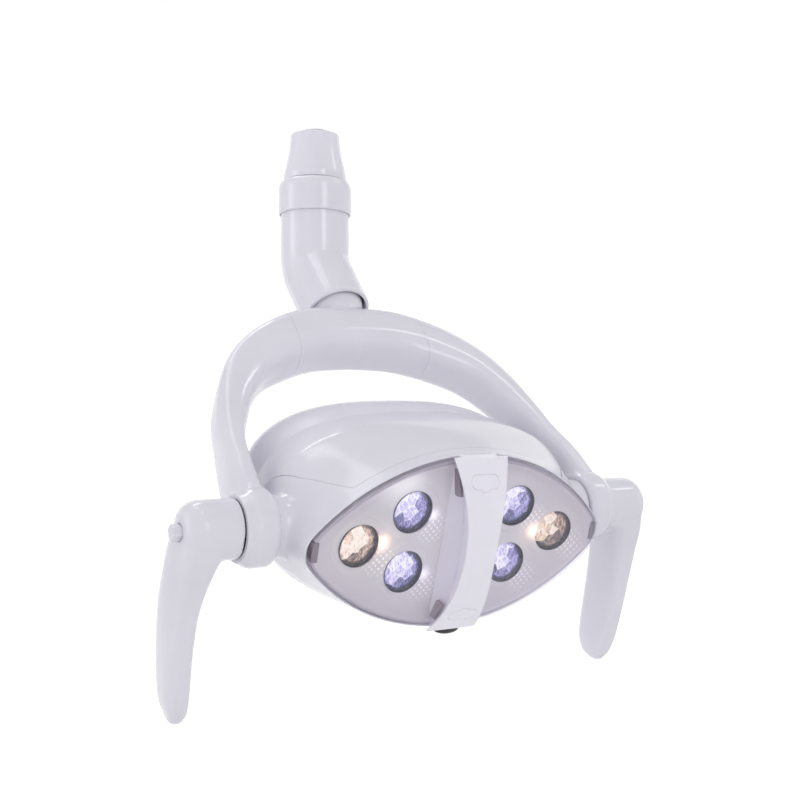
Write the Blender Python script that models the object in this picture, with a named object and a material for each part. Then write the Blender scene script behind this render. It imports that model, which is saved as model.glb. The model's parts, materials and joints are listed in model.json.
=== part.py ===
"""Dental operating light: arm end, swivelling elbow, U-shaped yoke and a tilting six-lens lamp head.

Metres, +Z up along the arm's axis, origin on the flat face at the top of the arm end.
Lengths below are millimetres. The object is held at its working pose by the three angles.
"""
import math

import bpy
import numpy as np
from mathutils import Matrix

MM = 0.001

# Pose of the three main joints, degrees
ELBOW_BEND = 40.5      # outlet of the elbow, forwards (-Y) from straight down
YOKE_SWIVEL = -3.0     # yoke about the elbow's outlet
HEAD_TILT = 61.5       # lamp head about the yoke's axis

# Arm end and elbow
ARM_TOP = 134.0        # mounting face above the bend point
COLLAR_R, COLLAR_LOW, COLLAR_TOP = 35.6, 51.5, 84.5
ELBOW_R, LIP_R, LIP_AT = 33.2, 32.4, 66.8
SPIGOT_R = 16.0

# Yoke
TILT_AXIS_AT = 309.0   # tilt axis from the bend point, along the outlet
BOSS_R, BOSS_IN, BOSS_OUT = 30.4, 147.5, 173.6
NECK_R = 24.6

# Lamp head, in its own frame: x along the tilt axis, y up the face, z out of the face
FACE_W, FACE_H, FACE_Y, CORNER_R = 137.5, 74.0, -2.3, 20.0
RIM_Z, SEAM_Z, TURN_Z, BACK_Z, WALL = 42.5, 35.5, -58.0, -122.0, 2.6
COVER_Z, DOME_H = 50.5, 22.5
PANEL_Z = 44.6
LENS_R, LENS_FOCUS = 17.2, 870.0
LENSES = [(-91.2, -0.5), (-48.3, 24.4), (-48.3, -25.4), (48.3, 24.4), (48.3, -25.4), (91.2, -0.5)]
SHAFT_R = 11.8

# Handles
HUB_R, HUB_IN, HUB_OUT = 23.0, 175.4, 217.0
HANDLE_LONG = 156.0
BUTTON_R, BUTTON_END = 6.3, 223.6

for old in list(bpy.data.objects):
    bpy.data.objects.remove(old)


def material(name, colour, roughness, metallic=0.0, alpha=1.0):
    made = bpy.data.materials.new(name)
    made.use_nodes = True
    shader = made.node_tree.nodes["Principled BSDF"]
    shader.inputs["Base Color"].default_value = (*colour, 1.0)
    shader.inputs["Roughness"].default_value = roughness
    shader.inputs["Metallic"].default_value = metallic
    shader.inputs["Alpha"].default_value = alpha
    return made


WHITE = material("gloss_white", (0.86, 0.86, 0.88), 0.18)
GREY = material("panel_grey", (0.74, 0.73, 0.72), 0.45)
CLEAR = material("clear_cover", (0.90, 0.90, 0.94), 0.04, alpha=0.2)
COOL = material("cool_lens", (0.62, 0.60, 0.86), 0.06, alpha=0.55)
WARM = material("warm_lens", (0.92, 0.78, 0.66), 0.06, alpha=0.55)
BLACK = material("black_plastic", (0.02, 0.02, 0.02), 0.35)
STEEL = material("steel", (0.55, 0.56, 0.58), 0.3, 1.0)
ALLOY = material("aluminium", (0.70, 0.71, 0.73), 0.4, 1.0)
BRONZE = material("bronze_bush", (0.60, 0.43, 0.24), 0.4, 1.0)
NYLON = material("nylon", (0.82, 0.81, 0.76), 0.5)
BOARD = material("circuit_board", (0.05, 0.22, 0.12), 0.4)


def turn(angle, axis):
    return Matrix.Rotation(math.radians(angle), 4, axis)


def empty(name, matrix, parent=None):
    """A frame for a moving body, with its origin on that body's joint axis."""
    made = bpy.data.objects.new(name, None)
    made.empty_display_size = 0.02
    bpy.context.scene.collection.objects.link(made)
    if parent:
        made.parent = parent
    made.matrix_local = matrix
    return made


def shift(x, y, z):
    return Matrix.Translation((x * MM, y * MM, z * MM))


ARM = empty("arm_axis", shift(0, 0, -ARM_TOP))
ELBOW = empty("elbow_axis", Matrix.Identity(4), ARM)
# The yoke's frame: z back up the outlet, y to the rear, x along the tilt axis
YOKE = empty("yoke_axis", turn(-ELBOW_BEND, "X") @ turn(YOKE_SWIVEL, "Z"), ELBOW)
HEAD = empty("tilt_axis", shift(0, 0, -TILT_AXIS_AT) @ turn(HEAD_TILT, "X") @ Matrix(
    ((1, 0, 0, 0), (0, 0, -1, 0), (0, 1, 0, 0), (0, 0, 0, 1))), YOKE)


def build(name, points, faces, frame, mat, sharp=32):
    mesh = bpy.data.meshes.new(name)
    mesh.from_pydata([tuple(float(c) * MM for c in p) for p in points], [], faces)
    mesh.validate()
    obj = bpy.data.objects.new(name, mesh)
    bpy.context.scene.collection.objects.link(obj)
    obj.parent = frame
    finish(obj, mat, sharp)
    # A body whose faces point inwards is turned out
    mesh.calc_loop_triangles()
    corners = np.array([[mesh.vertices[i].co[:] for i in t.vertices] for t in mesh.loop_triangles])
    if np.linalg.det(corners).sum() < 0:
        mesh.flip_normals()
    return obj


def finish(obj, mat, sharp=32):
    obj.data.materials.clear()
    obj.data.materials.append(mat)
    obj.data.polygons.foreach_set("use_smooth", [True] * len(obj.data.polygons))
    obj.data.set_sharp_from_angle(angle=math.radians(sharp))
    obj["sharp"] = sharp


def loft(name, rings, frame, mat, loop=False, sharp=32):
    """A skin over rings of equal length, capped at both ends, or joined last to first."""
    n = len(rings[0])
    points = [p for ring in rings for p in ring]
    faces = []
    for i in range(len(rings) - (0 if loop else 1)):
        a, b = i * n, (i + 1) % len(rings) * n
        faces += [(a + j, a + (j + 1) % n, b + (j + 1) % n, b + j) for j in range(n)]
    if not loop:
        faces += [tuple(range(n))[::-1], tuple(range(len(points) - n, len(points)))]
    return build(name, points, faces, frame, mat, sharp)


def lathe(name, profile, frame, mat, n=28, ring=False, along="z", side=1, sharp=32):
    """A profile of (radius, distance) turned about z, or about x towards the given side."""
    def circle(r, z):
        turns = [2 * math.pi * k / n for k in range(n)]
        if along == "z":
            return [(r * math.cos(t), r * math.sin(t), z) for t in turns]
        return [(side * z, r * math.cos(t), r * math.sin(t)) for t in turns]

    rings = [circle(r, z) for r, z in profile if r > 0]
    return loft(name, rings, frame, mat, loop=ring, sharp=sharp)


def box(name, low, high, frame, mat):
    x, y, z = zip(low, high)
    ring = [(0, 0), (1, 0), (1, 1), (0, 1)]
    return loft(name, [[(x[i], y[j], z[k]) for i, j in ring] for k in (0, 1)], frame, mat)


def combine(obj, other, how="DIFFERENCE", keep=False):
    """Applies one Boolean at once, so that each object left in the scene is a plain mesh."""
    bpy.context.view_layer.update()
    step = obj.modifiers.new("step", "BOOLEAN")
    step.operation, step.solver, step.object = how, "EXACT", other
    graph = bpy.context.evaluated_depsgraph_get()
    made = bpy.data.meshes.new_from_object(obj.evaluated_get(graph))
    obj.modifiers.clear()
    sharp, mat = obj["sharp"], obj.data.materials[0]
    obj.data = made
    finish(obj, mat, sharp)
    if not keep:
        bpy.data.objects.remove(other)
    return obj


def copy(obj, name):
    made = obj.copy()
    made.data = obj.data.copy()
    made.name = name
    bpy.context.scene.collection.objects.link(made)
    return made


def resample(curve, n):
    """n points evenly spaced along a closed curve, starting at its first point."""
    curve = np.asarray(curve, float)
    ends = np.vstack([curve, curve[:1]])
    run = np.concatenate([[0], np.cumsum(np.linalg.norm(np.diff(ends, axis=0), axis=1))])
    at = np.linspace(0, run[-1], n, endpoint=False)
    return np.column_stack([np.interp(at, run, ends[:, k]) for k in (0, 1)])


def eye(w, h, corner, n):
    """The almond outline of the face: two long arcs with rounded corners, from the +x corner."""
    c = w - corner
    big = (c * c + h * h - corner * corner) / (2 * (h - corner))
    meet = math.atan2(big - h, c)
    end = np.linspace(0, meet, 12)
    arc = np.linspace(meet, math.pi / 2, 40)[1:]
    quarter = [(c + corner * math.cos(t), corner * math.sin(t)) for t in end]
    quarter += [(big * math.cos(t), h - big + big * math.sin(t)) for t in arc]
    half = quarter + [(-x, y) for x, y in quarter[-2::-1]]
    return resample(half + [(x, -y) for x, y in half[-2:0:-1]], n)


def superellipse(a, b, power, n):
    t = np.linspace(0, 2 * math.pi, n, endpoint=False)
    c, s = np.cos(t), np.sin(t)
    return np.column_stack([a * np.sign(c) * abs(c) ** (2 / power), b * np.sign(s) * abs(s) ** (2 / power)])


def oblong(w, h, n):
    """Squarer above than below."""
    top, low = superellipse(w, h, 2.65, 400), superellipse(w, h, 2.05, 400)
    return resample(np.vstack([top[:200], low[200:]]), n)


def spline(knots, samples):
    """A smooth curve through rows of knots, sampled evenly from the first to the last."""
    knots = np.asarray(knots, float)
    slopes = np.gradient(knots, axis=0)
    out = []
    for t in np.linspace(0, len(knots) - 1, samples):
        i = min(int(t), len(knots) - 2)
        u = t - i
        out.append((2 * u**3 - 3 * u**2 + 1) * knots[i] + (u**3 - 2 * u**2 + u) * slopes[i]
                   + (3 * u**2 - 2 * u**3) * knots[i + 1] + (u**3 - u**2) * slopes[i + 1])
    return np.array(out)


# ---------------------------------------------------------------- arm end
spigot = lathe("arm_spigot", [(SPIGOT_R - 1, ARM_TOP), (SPIGOT_R, ARM_TOP - 1), (SPIGOT_R, 37), (14.6, 37),
                              (14.6, 35), (SPIGOT_R, 35), (SPIGOT_R, 28)], ARM, STEEL)
combine(spigot, lathe("bore", [(12, 20), (12, ARM_TOP - 7)], ARM, STEEL, 24))
combine(spigot, box("wire_slot", (6, -3, ARM_TOP - 9), (11, 3, ARM_TOP + 2), ARM, STEEL))

shroud = [(30.4, 85.0), (30.4, 90.2)]
shroud += [tuple(p) for p in spline([(30.4, 91.1), (27.9, 102), (25.6, 113), (24.2, 123), (23.6, 131)], 6)]
shroud += [(21.0, 131), (22.9, 114), (27.8, 92.1), (27.8, 85.0)]
lathe("arm_shroud", shroud, ARM, WHITE, 32, ring=True)

lathe("arm_collar", [
    (ELBOW_R + 0.5, COLLAR_LOW), (34.9, COLLAR_LOW), (COLLAR_R, 53.0), (COLLAR_R, 77), (COLLAR_R - 1.4, 82),
    (32.2, COLLAR_TOP), (29, COLLAR_TOP), (29, 68), (SPIGOT_R + 0.4, 68), (SPIGOT_R + 0.4, 62),
    (ELBOW_R + 0.5, 62)],
    ARM, WHITE, 32, ring=True)

clip = lathe("retaining_ring", [(14.9, 35.3), (18.6, 35.3), (18.6, 36.7), (14.9, 36.7)], ARM, STEEL, 24, ring=True)
combine(clip, box("clip_gap", (-4, 5, 30), (4, 30, 40), ARM, STEEL))

# ---------------------------------------------------------------- elbow
lathe("swivel_washer", [(SPIGOT_R + 0.4, 58.6), (25, 58.6), (25, 61.4), (SPIGOT_R + 0.4, 61.4)],
      ELBOW, NYLON, 24, ring=True)
lathe("elbow_bush", [(SPIGOT_R + 0.4, 39), (18.5, 39), (18.5, 55.9), (22, 55.9), (22, 58.2), (SPIGOT_R + 0.4, 58.2)],
      ELBOW, BRONZE, 24, ring=True)


def elbow_rings(top, low, r_top, r_low, n=32, steps=6, round_lip=0.0):
    """Circles down the arm axis, round the bend about a line at its inner side, and along the outlet."""
    rings = []
    bend = math.radians(ELBOW_BEND)
    hinge = ELBOW_R + 0.8
    back = hinge * math.tan(bend / 2)

    def circle(radius, lean, along):
        # Centre follows the two straight axes and an arc between them
        if lean <= 0:
            centre, tilt = np.array([0, 0, along]), 0.0
        elif lean >= 1:
            centre, tilt = np.array([0, -math.sin(bend) * along, -math.cos(bend) * along]), bend
        else:
            tilt = bend * lean
            centre = np.array([0, -hinge, back]) + hinge * np.array([0, math.cos(tilt), -math.sin(tilt)])
        across = np.array([0, math.cos(tilt), -math.sin(tilt)])
        turns = np.linspace(0, 2 * math.pi, n, endpoint=False)
        return [tuple(centre + radius * (math.cos(t) * np.array([1, 0, 0]) + math.sin(t) * across)) for t in turns]

    rings.append(circle(r_top, 0, top))
    for lean in np.linspace(0, 1, steps):
        rings.append(circle(r_top, min(max(lean, 1e-4), 1 - 1e-4), 0))
    for share in (0.5, 1.0) if round_lip else (1.0,):
        along = back + share * (low - round_lip - back)
        rings.append(circle(r_top + (r_low - r_top) * share, 1, along))
    if round_lip:
        for angle in (30, 60, 90):
            a = math.radians(angle)
            rings.append(circle(r_low - round_lip * (1 - math.cos(a)), 1, low - round_lip * (1 - math.sin(a))))
    return rings


cover = loft("elbow_cover", elbow_rings(58, LIP_AT, ELBOW_R, LIP_R, round_lip=4.0), ELBOW, WHITE)
combine(cover, loft("elbow_void", elbow_rings(60, LIP_AT + 3, ELBOW_R - 2.6, LIP_R - 4.4, steps=3), ELBOW, WHITE))
OUTLET = empty("outlet_axis", turn(-ELBOW_BEND, "X"), ELBOW)
core = loft("elbow_core", elbow_rings(55.5, 47, 23.4, 23.4, n=24, steps=3), ELBOW, ALLOY)
combine(core, lathe("top_bore", [(18.8, 38.4), (18.8, 60)], ELBOW, ALLOY, 24))
combine(core, lathe("spigot_room", [(19.5, 24), (19.5, 38.6)], ELBOW, ALLOY, 24))
combine(core, lathe("low_bore", [(15.4, -60), (15.4, -20)], OUTLET, ALLOY, 24))
combine(core, lathe("low_way", [(9, -22), (9, 3)], OUTLET, ALLOY, 20))
combine(core, lathe("wire_way", [(9.5, 1), (9.5, 26)], ELBOW, ALLOY, 20))
lathe("outlet_bush", [(12.5, -46), (15.0, -46), (15.0, -24), (12.5, -24)], OUTLET, BRONZE, 24, ring=True)

# ---------------------------------------------------------------- yoke
lathe("yoke_stem", [(8, -92), (12.1, -92), (12.1, -23), (8, -23)], YOKE, STEEL, 24, ring=True)

# Half of the bow, from its middle to the boss: outer x and depth, inner x and depth, front-to-back thickness,
# set-back, and how far the outer rear edge is drawn in
BOW = [(0, 71.5, 0, 127, 48, 0, 0), (48, 76, 40, 130.5, 48, 0, 4), (90, 94, 73, 142, 47, 0, 12),
       (124, 120.5, 101, 157, 45, 1, 13), (145, 152, 120, 179, 43, 2, 8), (157, 188, 133.5, 204, 42, 3, 1),
       (163, 225, 144, 230, 43, 3, 0), (168, 259, 148.5, 258, 49, 1, 0), (172, 289, 149, 289, 51, 0, 0)]


def bow_rings(n, samples, inset=0.0, power=3.2):
    half = spline(BOW, samples)
    full = np.vstack([half[:0:-1] * [-1, 1, -1, 1, 1, 1, 1], half])
    rings = []
    for ox, os, ix, is_, thick, back, lean in full:
        out, inn = np.array([ox, 0, -os]), np.array([ix, 0, -is_])
        mid, across = (out + inn) / 2, (out - inn) / 2
        half_w = np.linalg.norm(across)
        across = across / half_w
        shape = superellipse(half_w - inset, thick / 2 - inset, power, n)
        rings.append([tuple(mid + (a - lean * max(0, a / half_w) * (0.5 + b / thick)) * across
                            + np.array([0, b + back, 0])) for a, b in shape])
    return rings


def at_tilt_axis(obj):
    """Lowers a piece built round the yoke's origin to the tilt axis."""
    obj.data.transform(shift(0, 0, -TILT_AXIS_AT))
    return obj


def cover_zone(name, grow):
    """Where the middle cover wraps the front and the underside of the bow."""
    across = superellipse(66 + grow, 60 + grow, 7, 28)
    return loft(name, [[(x, y, z - 130) for x, z in across] for y in (-60, 14 + grow)], YOKE, WHITE)


bow = loft("yoke_bow", bow_rings(20, 12), YOKE, WHITE, sharp=50)
yoke_cover = copy(bow, "yoke_cover")
for side in (-1, 1):
    combine(bow, at_tilt_axis(lathe("boss", [
        (BOSS_R - 3.5, BOSS_IN), (BOSS_R, BOSS_IN + 4), (BOSS_R, 165.5), (26.0, BOSS_OUT - 0.8), (25, BOSS_OUT)],
        YOKE, WHITE, 32, along="x", side=side)), "UNION")
combine(bow, lathe("neck", [(NECK_R, -96), (NECK_R, -51), (NECK_R - 1, -50)], YOKE, WHITE, 28), "UNION")
combine(yoke_cover, loft("bow_skin", bow_rings(20, 12, inset=3.0), YOKE, WHITE))
combine(yoke_cover, cover_zone("zone", 0.0), "INTERSECT")
combine(yoke_cover, lathe("neck_room", [(NECK_R + 0.4, -84), (NECK_R + 0.4, -40)], YOKE, WHITE, 28))
room = cover_zone("zone_room", 0.3)
combine(room, lathe("neck_keep", [(NECK_R, -83.6), (NECK_R, -38)], YOKE, WHITE, 28))
combine(room, loft("bow_core", bow_rings(20, 12, inset=3.3), YOKE, WHITE))
combine(bow, room)
for side, word in ((-1, "left"), (1, "right")):
    combine(bow, at_tilt_axis(lathe("boss_bore", [(15.4, 140), (15.4, 180)], YOKE, WHITE, 24, along="x", side=side)))
    at_tilt_axis(lathe("boss_bush_" + word, [(12.2, 148), (15.0, 148), (15.0, 173), (12.2, 173)],
                       YOKE, BRONZE, 24, ring=True, along="x", side=side))
combine(bow, lathe("stem_bore", [(12.5, -93), (12.5, -40)], YOKE, WHITE, 24))
combine(bow, lathe("stem_way", [(7, -140), (7, -90)], YOKE, WHITE, 16))

# ---------------------------------------------------------------- head shells


def head_rings(n, inset=0.0, front=RIM_Z, stations=6):
    """Outlines from the face back to the closed rear: almond at the face, a rounded oblong behind."""
    rings = []
    for z in np.linspace(front, TURN_Z, 5):
        w = min(max((RIM_Z - z) / (RIM_Z - TURN_Z), 0.0), 1.0)
        swell = math.sin(w * math.pi)
        wide, high = FACE_W - 0.4 + 6.0 * swell - 1.6 * w - inset, FACE_H - 0.4 + 5.0 * swell + 2.4 * w - inset
        blend = min(1.0, 1.6 * w) ** 1.3
        shape = (1 - blend) * eye(wide, high, CORNER_R - inset / 2, n) + blend * oblong(wide, high, n)
        rings.append([(x, y + FACE_Y - 3 * w, z) for x, y in shape])
    power = 4.0
    for a in np.linspace(0, 86, stations)[1:]:
        s, c = math.sin(math.radians(a)) ** (2 / power), math.cos(math.radians(a)) ** (2 / power)
        z = TURN_Z + (BACK_Z + inset - TURN_Z) * s
        shape = oblong((FACE_W - 2.0 - inset) * c, (FACE_H + 2.0 - inset) * c, n)
        rings.append([(x, y + FACE_Y - 3, z) for x, y in shape])
    return rings


N_HEAD = 36
shell = loft("rear_shell", head_rings(N_HEAD), HEAD, WHITE, sharp=40)
for side in (-1, 1):
    combine(shell, lathe("head_neck", [(41, 114), (37, 122), (29.5, 128), (25.6, 134), (24, 140), (23.6, 146.4)],
                         HEAD, WHITE, 28, along="x", side=side), "UNION")


def front_zone(name, grow):
    """The bezel behind the rim, widened at both ends to take in the necks."""
    edge = SEAM_Z - grow
    outline = [(-200, 0 - grow), (-124 + grow, 0 - grow), (-98 + grow, edge), (98 - grow, edge),
               (124 - grow, 0 - grow), (200, 0 - grow), (200, 70), (-200, 70)]
    zone = loft(name, [[(x, y, z) for x, z in outline] for y in (-150, 150)], HEAD, WHITE)
    for side in (-1, 1):
        disc = lathe("disc", [(38 + grow, 110 - grow), (38 + grow, 170)], HEAD, WHITE, 28, along="x", side=side)
        combine(zone, disc, "UNION")
    return zone


front = copy(shell, "front_housing")
combine(front, front_zone("zone_front", -0.15), "INTERSECT")
combine(shell, front_zone("zone_rear", 0.15))
void = loft("void", head_rings(N_HEAD, inset=WALL, front=RIM_Z + 4), HEAD, WHITE)
combine(shell, void, keep=True)
combine(front, void)
for side in (-1, 1):
    combine(front, lathe("shaft_hole", [(SHAFT_R + 0.3, 120), (SHAFT_R + 0.3, 155)],
                         HEAD, WHITE, 24, along="x", side=side))
# Cable and air slots low on the rear
for k in range(5):
    combine(shell, box("vent", (-44 + 20 * k, -70, -100), (-36 + 20 * k, -60, -60), HEAD, WHITE))


# ---------------------------------------------------------------- lamp face
def dome_z(share):
    """Height of the clear cover over the face, by the share of the way out to the rim."""
    return COVER_Z + DOME_H * (1 - min(share, 1.0) ** 2.4)


def face_ring(share, z, n=N_HEAD, inset=0.0):
    shape = eye(FACE_W - inset, FACE_H - inset, CORNER_R, n) * share
    return [(x, y + FACE_Y, z) for x, y in shape]


def cover_shell():
    shares = (0.985, 0.9, 0.74, 0.5, 0.22)
    outer = [face_ring(1.0, RIM_Z + 0.3), face_ring(1.0, COVER_Z - 0.8)]
    outer += [face_ring(s, dome_z(s)) for s in shares]
    inner_rings = [face_ring(s, dome_z(s) - 2.0, inset=2.0) for s in shares[::-1]]
    inner_rings += [face_ring(1.0, COVER_Z - 1.5, inset=2.0), face_ring(1.0, RIM_Z + 0.3, inset=2.0)]
    return loft("cover_shell", outer + inner_rings, HEAD, CLEAR, loop=True)


def half_of(obj, name, side, gap, mat):
    made = copy(obj, name)
    combine(made, box("half", (gap, -200, -200) if side > 0 else (-200, -200, -200),
                      (200, 200, 200) if side > 0 else (-gap, 200, 200), HEAD, mat), "INTERSECT")
    return made


whole = cover_shell()
for side, word in ((-1, "left"), (1, "right")):
    half_of(whole, "clear_cover_" + word, side, 17.8, CLEAR)
bpy.data.objects.remove(whole)


def lens_frame(x, y):
    """Lens axis leans so that all six meet at the working distance."""
    aim = Matrix.Rotation(-math.atan2(x, LENS_FOCUS), 4, "Y") @ Matrix.Rotation(
        math.atan2(y - FACE_Y, LENS_FOCUS), 4, "X")
    return shift(x, y, PANEL_Z) @ aim


plate_rings = [face_ring(s, z, inset=2.6) for s, z in (
    (0.99, 48.4), (0.93, 47.2), (0.84, PANEL_Z), (0.02, PANEL_Z))]
plate_rings += [face_ring(s, z, inset=2.6) for s, z in (
    (0.02, PANEL_Z - 2.2), (0.83, PANEL_Z - 2.2), (0.93, 44.8), (0.965, 45.8), (0.965, 38.0), (0.99, 38.0))]
plate = loft("plate", plate_rings, HEAD, GREY, loop=True)
panels = {word: half_of(plate, "panel_" + word, side, 17.8, GREY) for side, word in ((-1, "left"), (1, "right"))}
bpy.data.objects.remove(plate)
for i, (x, y) in enumerate(LENSES):
    word = "left" if x < 0 else "right"
    rim = lathe("rim", [(23.4, -0.7), (21.8, 0.8), (19.6, 1.3), (18.2, 0.9)], HEAD, GREY, 24)
    rim.data.transform(shift(x, y, PANEL_Z))
    combine(panels[word], rim, "UNION")
    hole = lathe("hole", [(17.5, -8), (17.5, 8)], HEAD, GREY, 24)
    hole.data.transform(lens_frame(x, y))
    combine(panels[word], hole)
    lens = lathe("lens_%d" % (i + 1), [
        (9, -1.6), (15.5, -3.6), (LENS_R, -5.0), (LENS_R, -7.2), (13.5, -10.5), (6.2, -21), (4.6, -21), (3.4, -17)],
        HEAD, WARM if abs(x) > 60 else COOL, 20, sharp=40)
    lens.data.transform(lens_frame(x, y))

# Latches at both ends of the face, and the spring clips that hold the covers beside the bridge
for side, word in ((-1, "left"), (1, "right")):
    slot = sorted((side * 123.6, side * 129.2))
    combine(panels[word], box("latch_room", (slot[0], -10, 30), (slot[1], 6, 60), HEAD, GREY))
    latch = box("cover_latch_" + word, (slot[0] + 0.4, -9.6, 40), (slot[1] - 0.4, 5.6, 49.2), HEAD, BLACK)
    hook = sorted((side * 125.8, side * 135))
    combine(latch, box("hook_room", (hook[0], -7, 43.5), (hook[1], 3, 47.5), HEAD, BLACK))
    for y, end in ((49.5, "upper"), (-54.0, "lower")):
        x0, x1, x2 = side * 18.1, side * 19.2, side * 24.0
        profile = [(x0, 45.0), (x2, 45.0), (x2, 46.0), (x1, 46.0), (x1, 54.0), (x0, 55.0)]
        loft("cover_clip_%s_%s" % (end, word), [[(x, v, z) for x, z in profile] for v in (y - 5, y + 5)], HEAD, STEEL)


# ---------------------------------------------------------------- bridge over the middle of the face
def bridge_width(y):
    """Narrow at the middle of the face, wider at both ends."""
    up = (y - FACE_Y) / FACE_H
    return 14.3 + (10.7 if up > 0 else 8.7) * abs(up) ** 1.9


def bridge_section(y):
    w = bridge_width(y)
    z = dome_z(abs(y - FACE_Y) / FACE_H) + 2.6
    low = min(w - 1.2, 16.0)
    half = [(0, z + 0.5), (w * 0.6, z + 0.3), (w - 1.0, z - 0.2), (w, z - 1.6), (w, z - 2.2),
            (low, z - 2.4), (17.2, PANEL_Z - 1.5)]
    return [(x, y, v) for x, v in half] + [(-x, y, v) for x, v in half[:0:-1]]


stations = FACE_Y + FACE_H * np.array([-0.99, -0.95, -0.86, -0.7, -0.5, -0.25, 0.0, 0.25, 0.5, 0.7, 0.86, 0.95, 0.99])
bridge = loft("bridge", [bridge_section(y) for y in stations], HEAD, WHITE)
hollow = loft("bridge_hollow", [[(x, y, z) for x, z in (
    (-12, PANEL_Z - 5), (12, PANEL_Z - 5), (11, dome_z(abs(y - FACE_Y) / 62) - 1.5),
    (-11, dome_z(abs(y - FACE_Y) / 62) - 1.5))] for y in np.linspace(FACE_Y - 60, FACE_Y + 60, 7)], HEAD, WHITE)
combine(bridge, hollow)


def obround(name, y, grow, low, high):
    """A flat-sided round-ended prism with a small pry tab towards the middle of the face."""
    r, half = 6.6 + grow, 6.6
    arc = np.linspace(-90, 90, 9)
    right = [(half + r * math.cos(math.radians(a)), r * math.sin(math.radians(a))) for a in arc]
    left = [(-px, -py) for px, py in right]
    made = loft(name, [[(px, py + y, z) for px, py in right + left] for z in (low, high)], HEAD, WHITE)
    toward = -1 if y > FACE_Y else 1
    edge = sorted((y + toward * 4, y + toward * (8.6 + grow)))
    tab = box("tab", (-3.2 - grow, edge[0], low), (3.2 + grow, edge[1], high), HEAD, WHITE)
    return combine(made, tab, "UNION")


for y, word in ((54.5, "upper"), (-57.5, "lower")):
    level = dome_z(abs(y - FACE_Y) / FACE_H) + 2.6
    cap = copy(bridge, "snap_cap_" + word)
    combine(cap, obround("cap_zone", y, 0.0, level - 4.6, level + 9), "INTERSECT")
    combine(bridge, obround("cap_room", y, 0.35, level - 5.0, level + 9))
    combine(bridge, box("screw_way", (-2.2, y - 2.2, 20), (2.2, y + 2.2, level - 4.8), HEAD, WHITE))
    seat = lathe("screw_seat", [(4.0, level - 8.5), (4.0, level)], HEAD, STEEL, 16)
    seat.data.transform(shift(0, y, 0))
    combine(bridge, seat)
    screw = lathe("bridge_screw_" + word, [(3.4, level - 5.4), (3.4, level - 8.2), (1.7, level - 8.2),
                                           (1.7, PANEL_Z - 14)], HEAD, STEEL, 16)
    screw.data.transform(shift(0, y, 0))

# Infra-red switch window under the lower end of the bridge
sensor_at = shift(0, FACE_Y - FACE_H + 1.6, 46.5) @ turn(90, "X")
window = lathe("sensor_window", [(12, -3), (12, 1.2), (11, 2.8), (7, 4.4)], HEAD, BLACK, 28)
window.data.transform(sensor_at @ Matrix.Diagonal((1, 0.5, 1, 1)))
room = lathe("sensor_room", [(12.3, -12), (12.3, 12)], HEAD, WHITE, 28)
room.data.transform(sensor_at @ Matrix.Diagonal((1, 0.53, 1, 1)))
combine(front, room, keep=True)
combine(bridge, room)
box("sensor_board", (-9, FACE_Y - FACE_H + 9.5, 26), (9, FACE_Y - FACE_H + 11, 38), HEAD, BOARD)

# ---------------------------------------------------------------- inside the head
sink = box("heat_sink", (-104, -38, 9), (104, 33, 15), HEAD, ALLOY)
for k in range(9):
    x = -88 + 22 * k
    combine(sink, box("fin", (x - 1.2, -36, -26), (x + 1.2, 31, 12), HEAD, ALLOY), "UNION")
for side, word in ((-1, "left"), (1, "right")):
    x0, x1 = sorted((side * 22, side * 102))
    board = box("led_board_" + word, (x0, -37, 15.4), (x1, 32.5, 17.0), HEAD, BOARD)
    for x, y in LENSES:
        if x * side > 0:
            led = lathe("led", [(3, 16), (3, 19), (1.8, 21.4)], HEAD, BOARD, 10)
            led.data.transform(shift(x, y, 0))
            combine(board, led, "UNION")
driver = box("driver_board", (-45, -40, -60), (45, 30, -58.2), HEAD, BOARD)
for x, y, w, d, h in ((-28, -20, 12, 12, 18), (5, -22, 16, 10, 12), (24, 8, 10, 16, 14), (-14, 14, 22, 8, 9)):
    combine(driver, box("block", (x - w / 2, y - d / 2, -59 - h), (x + w / 2, y + d / 2, -59), HEAD, BOARD), "UNION")

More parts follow.
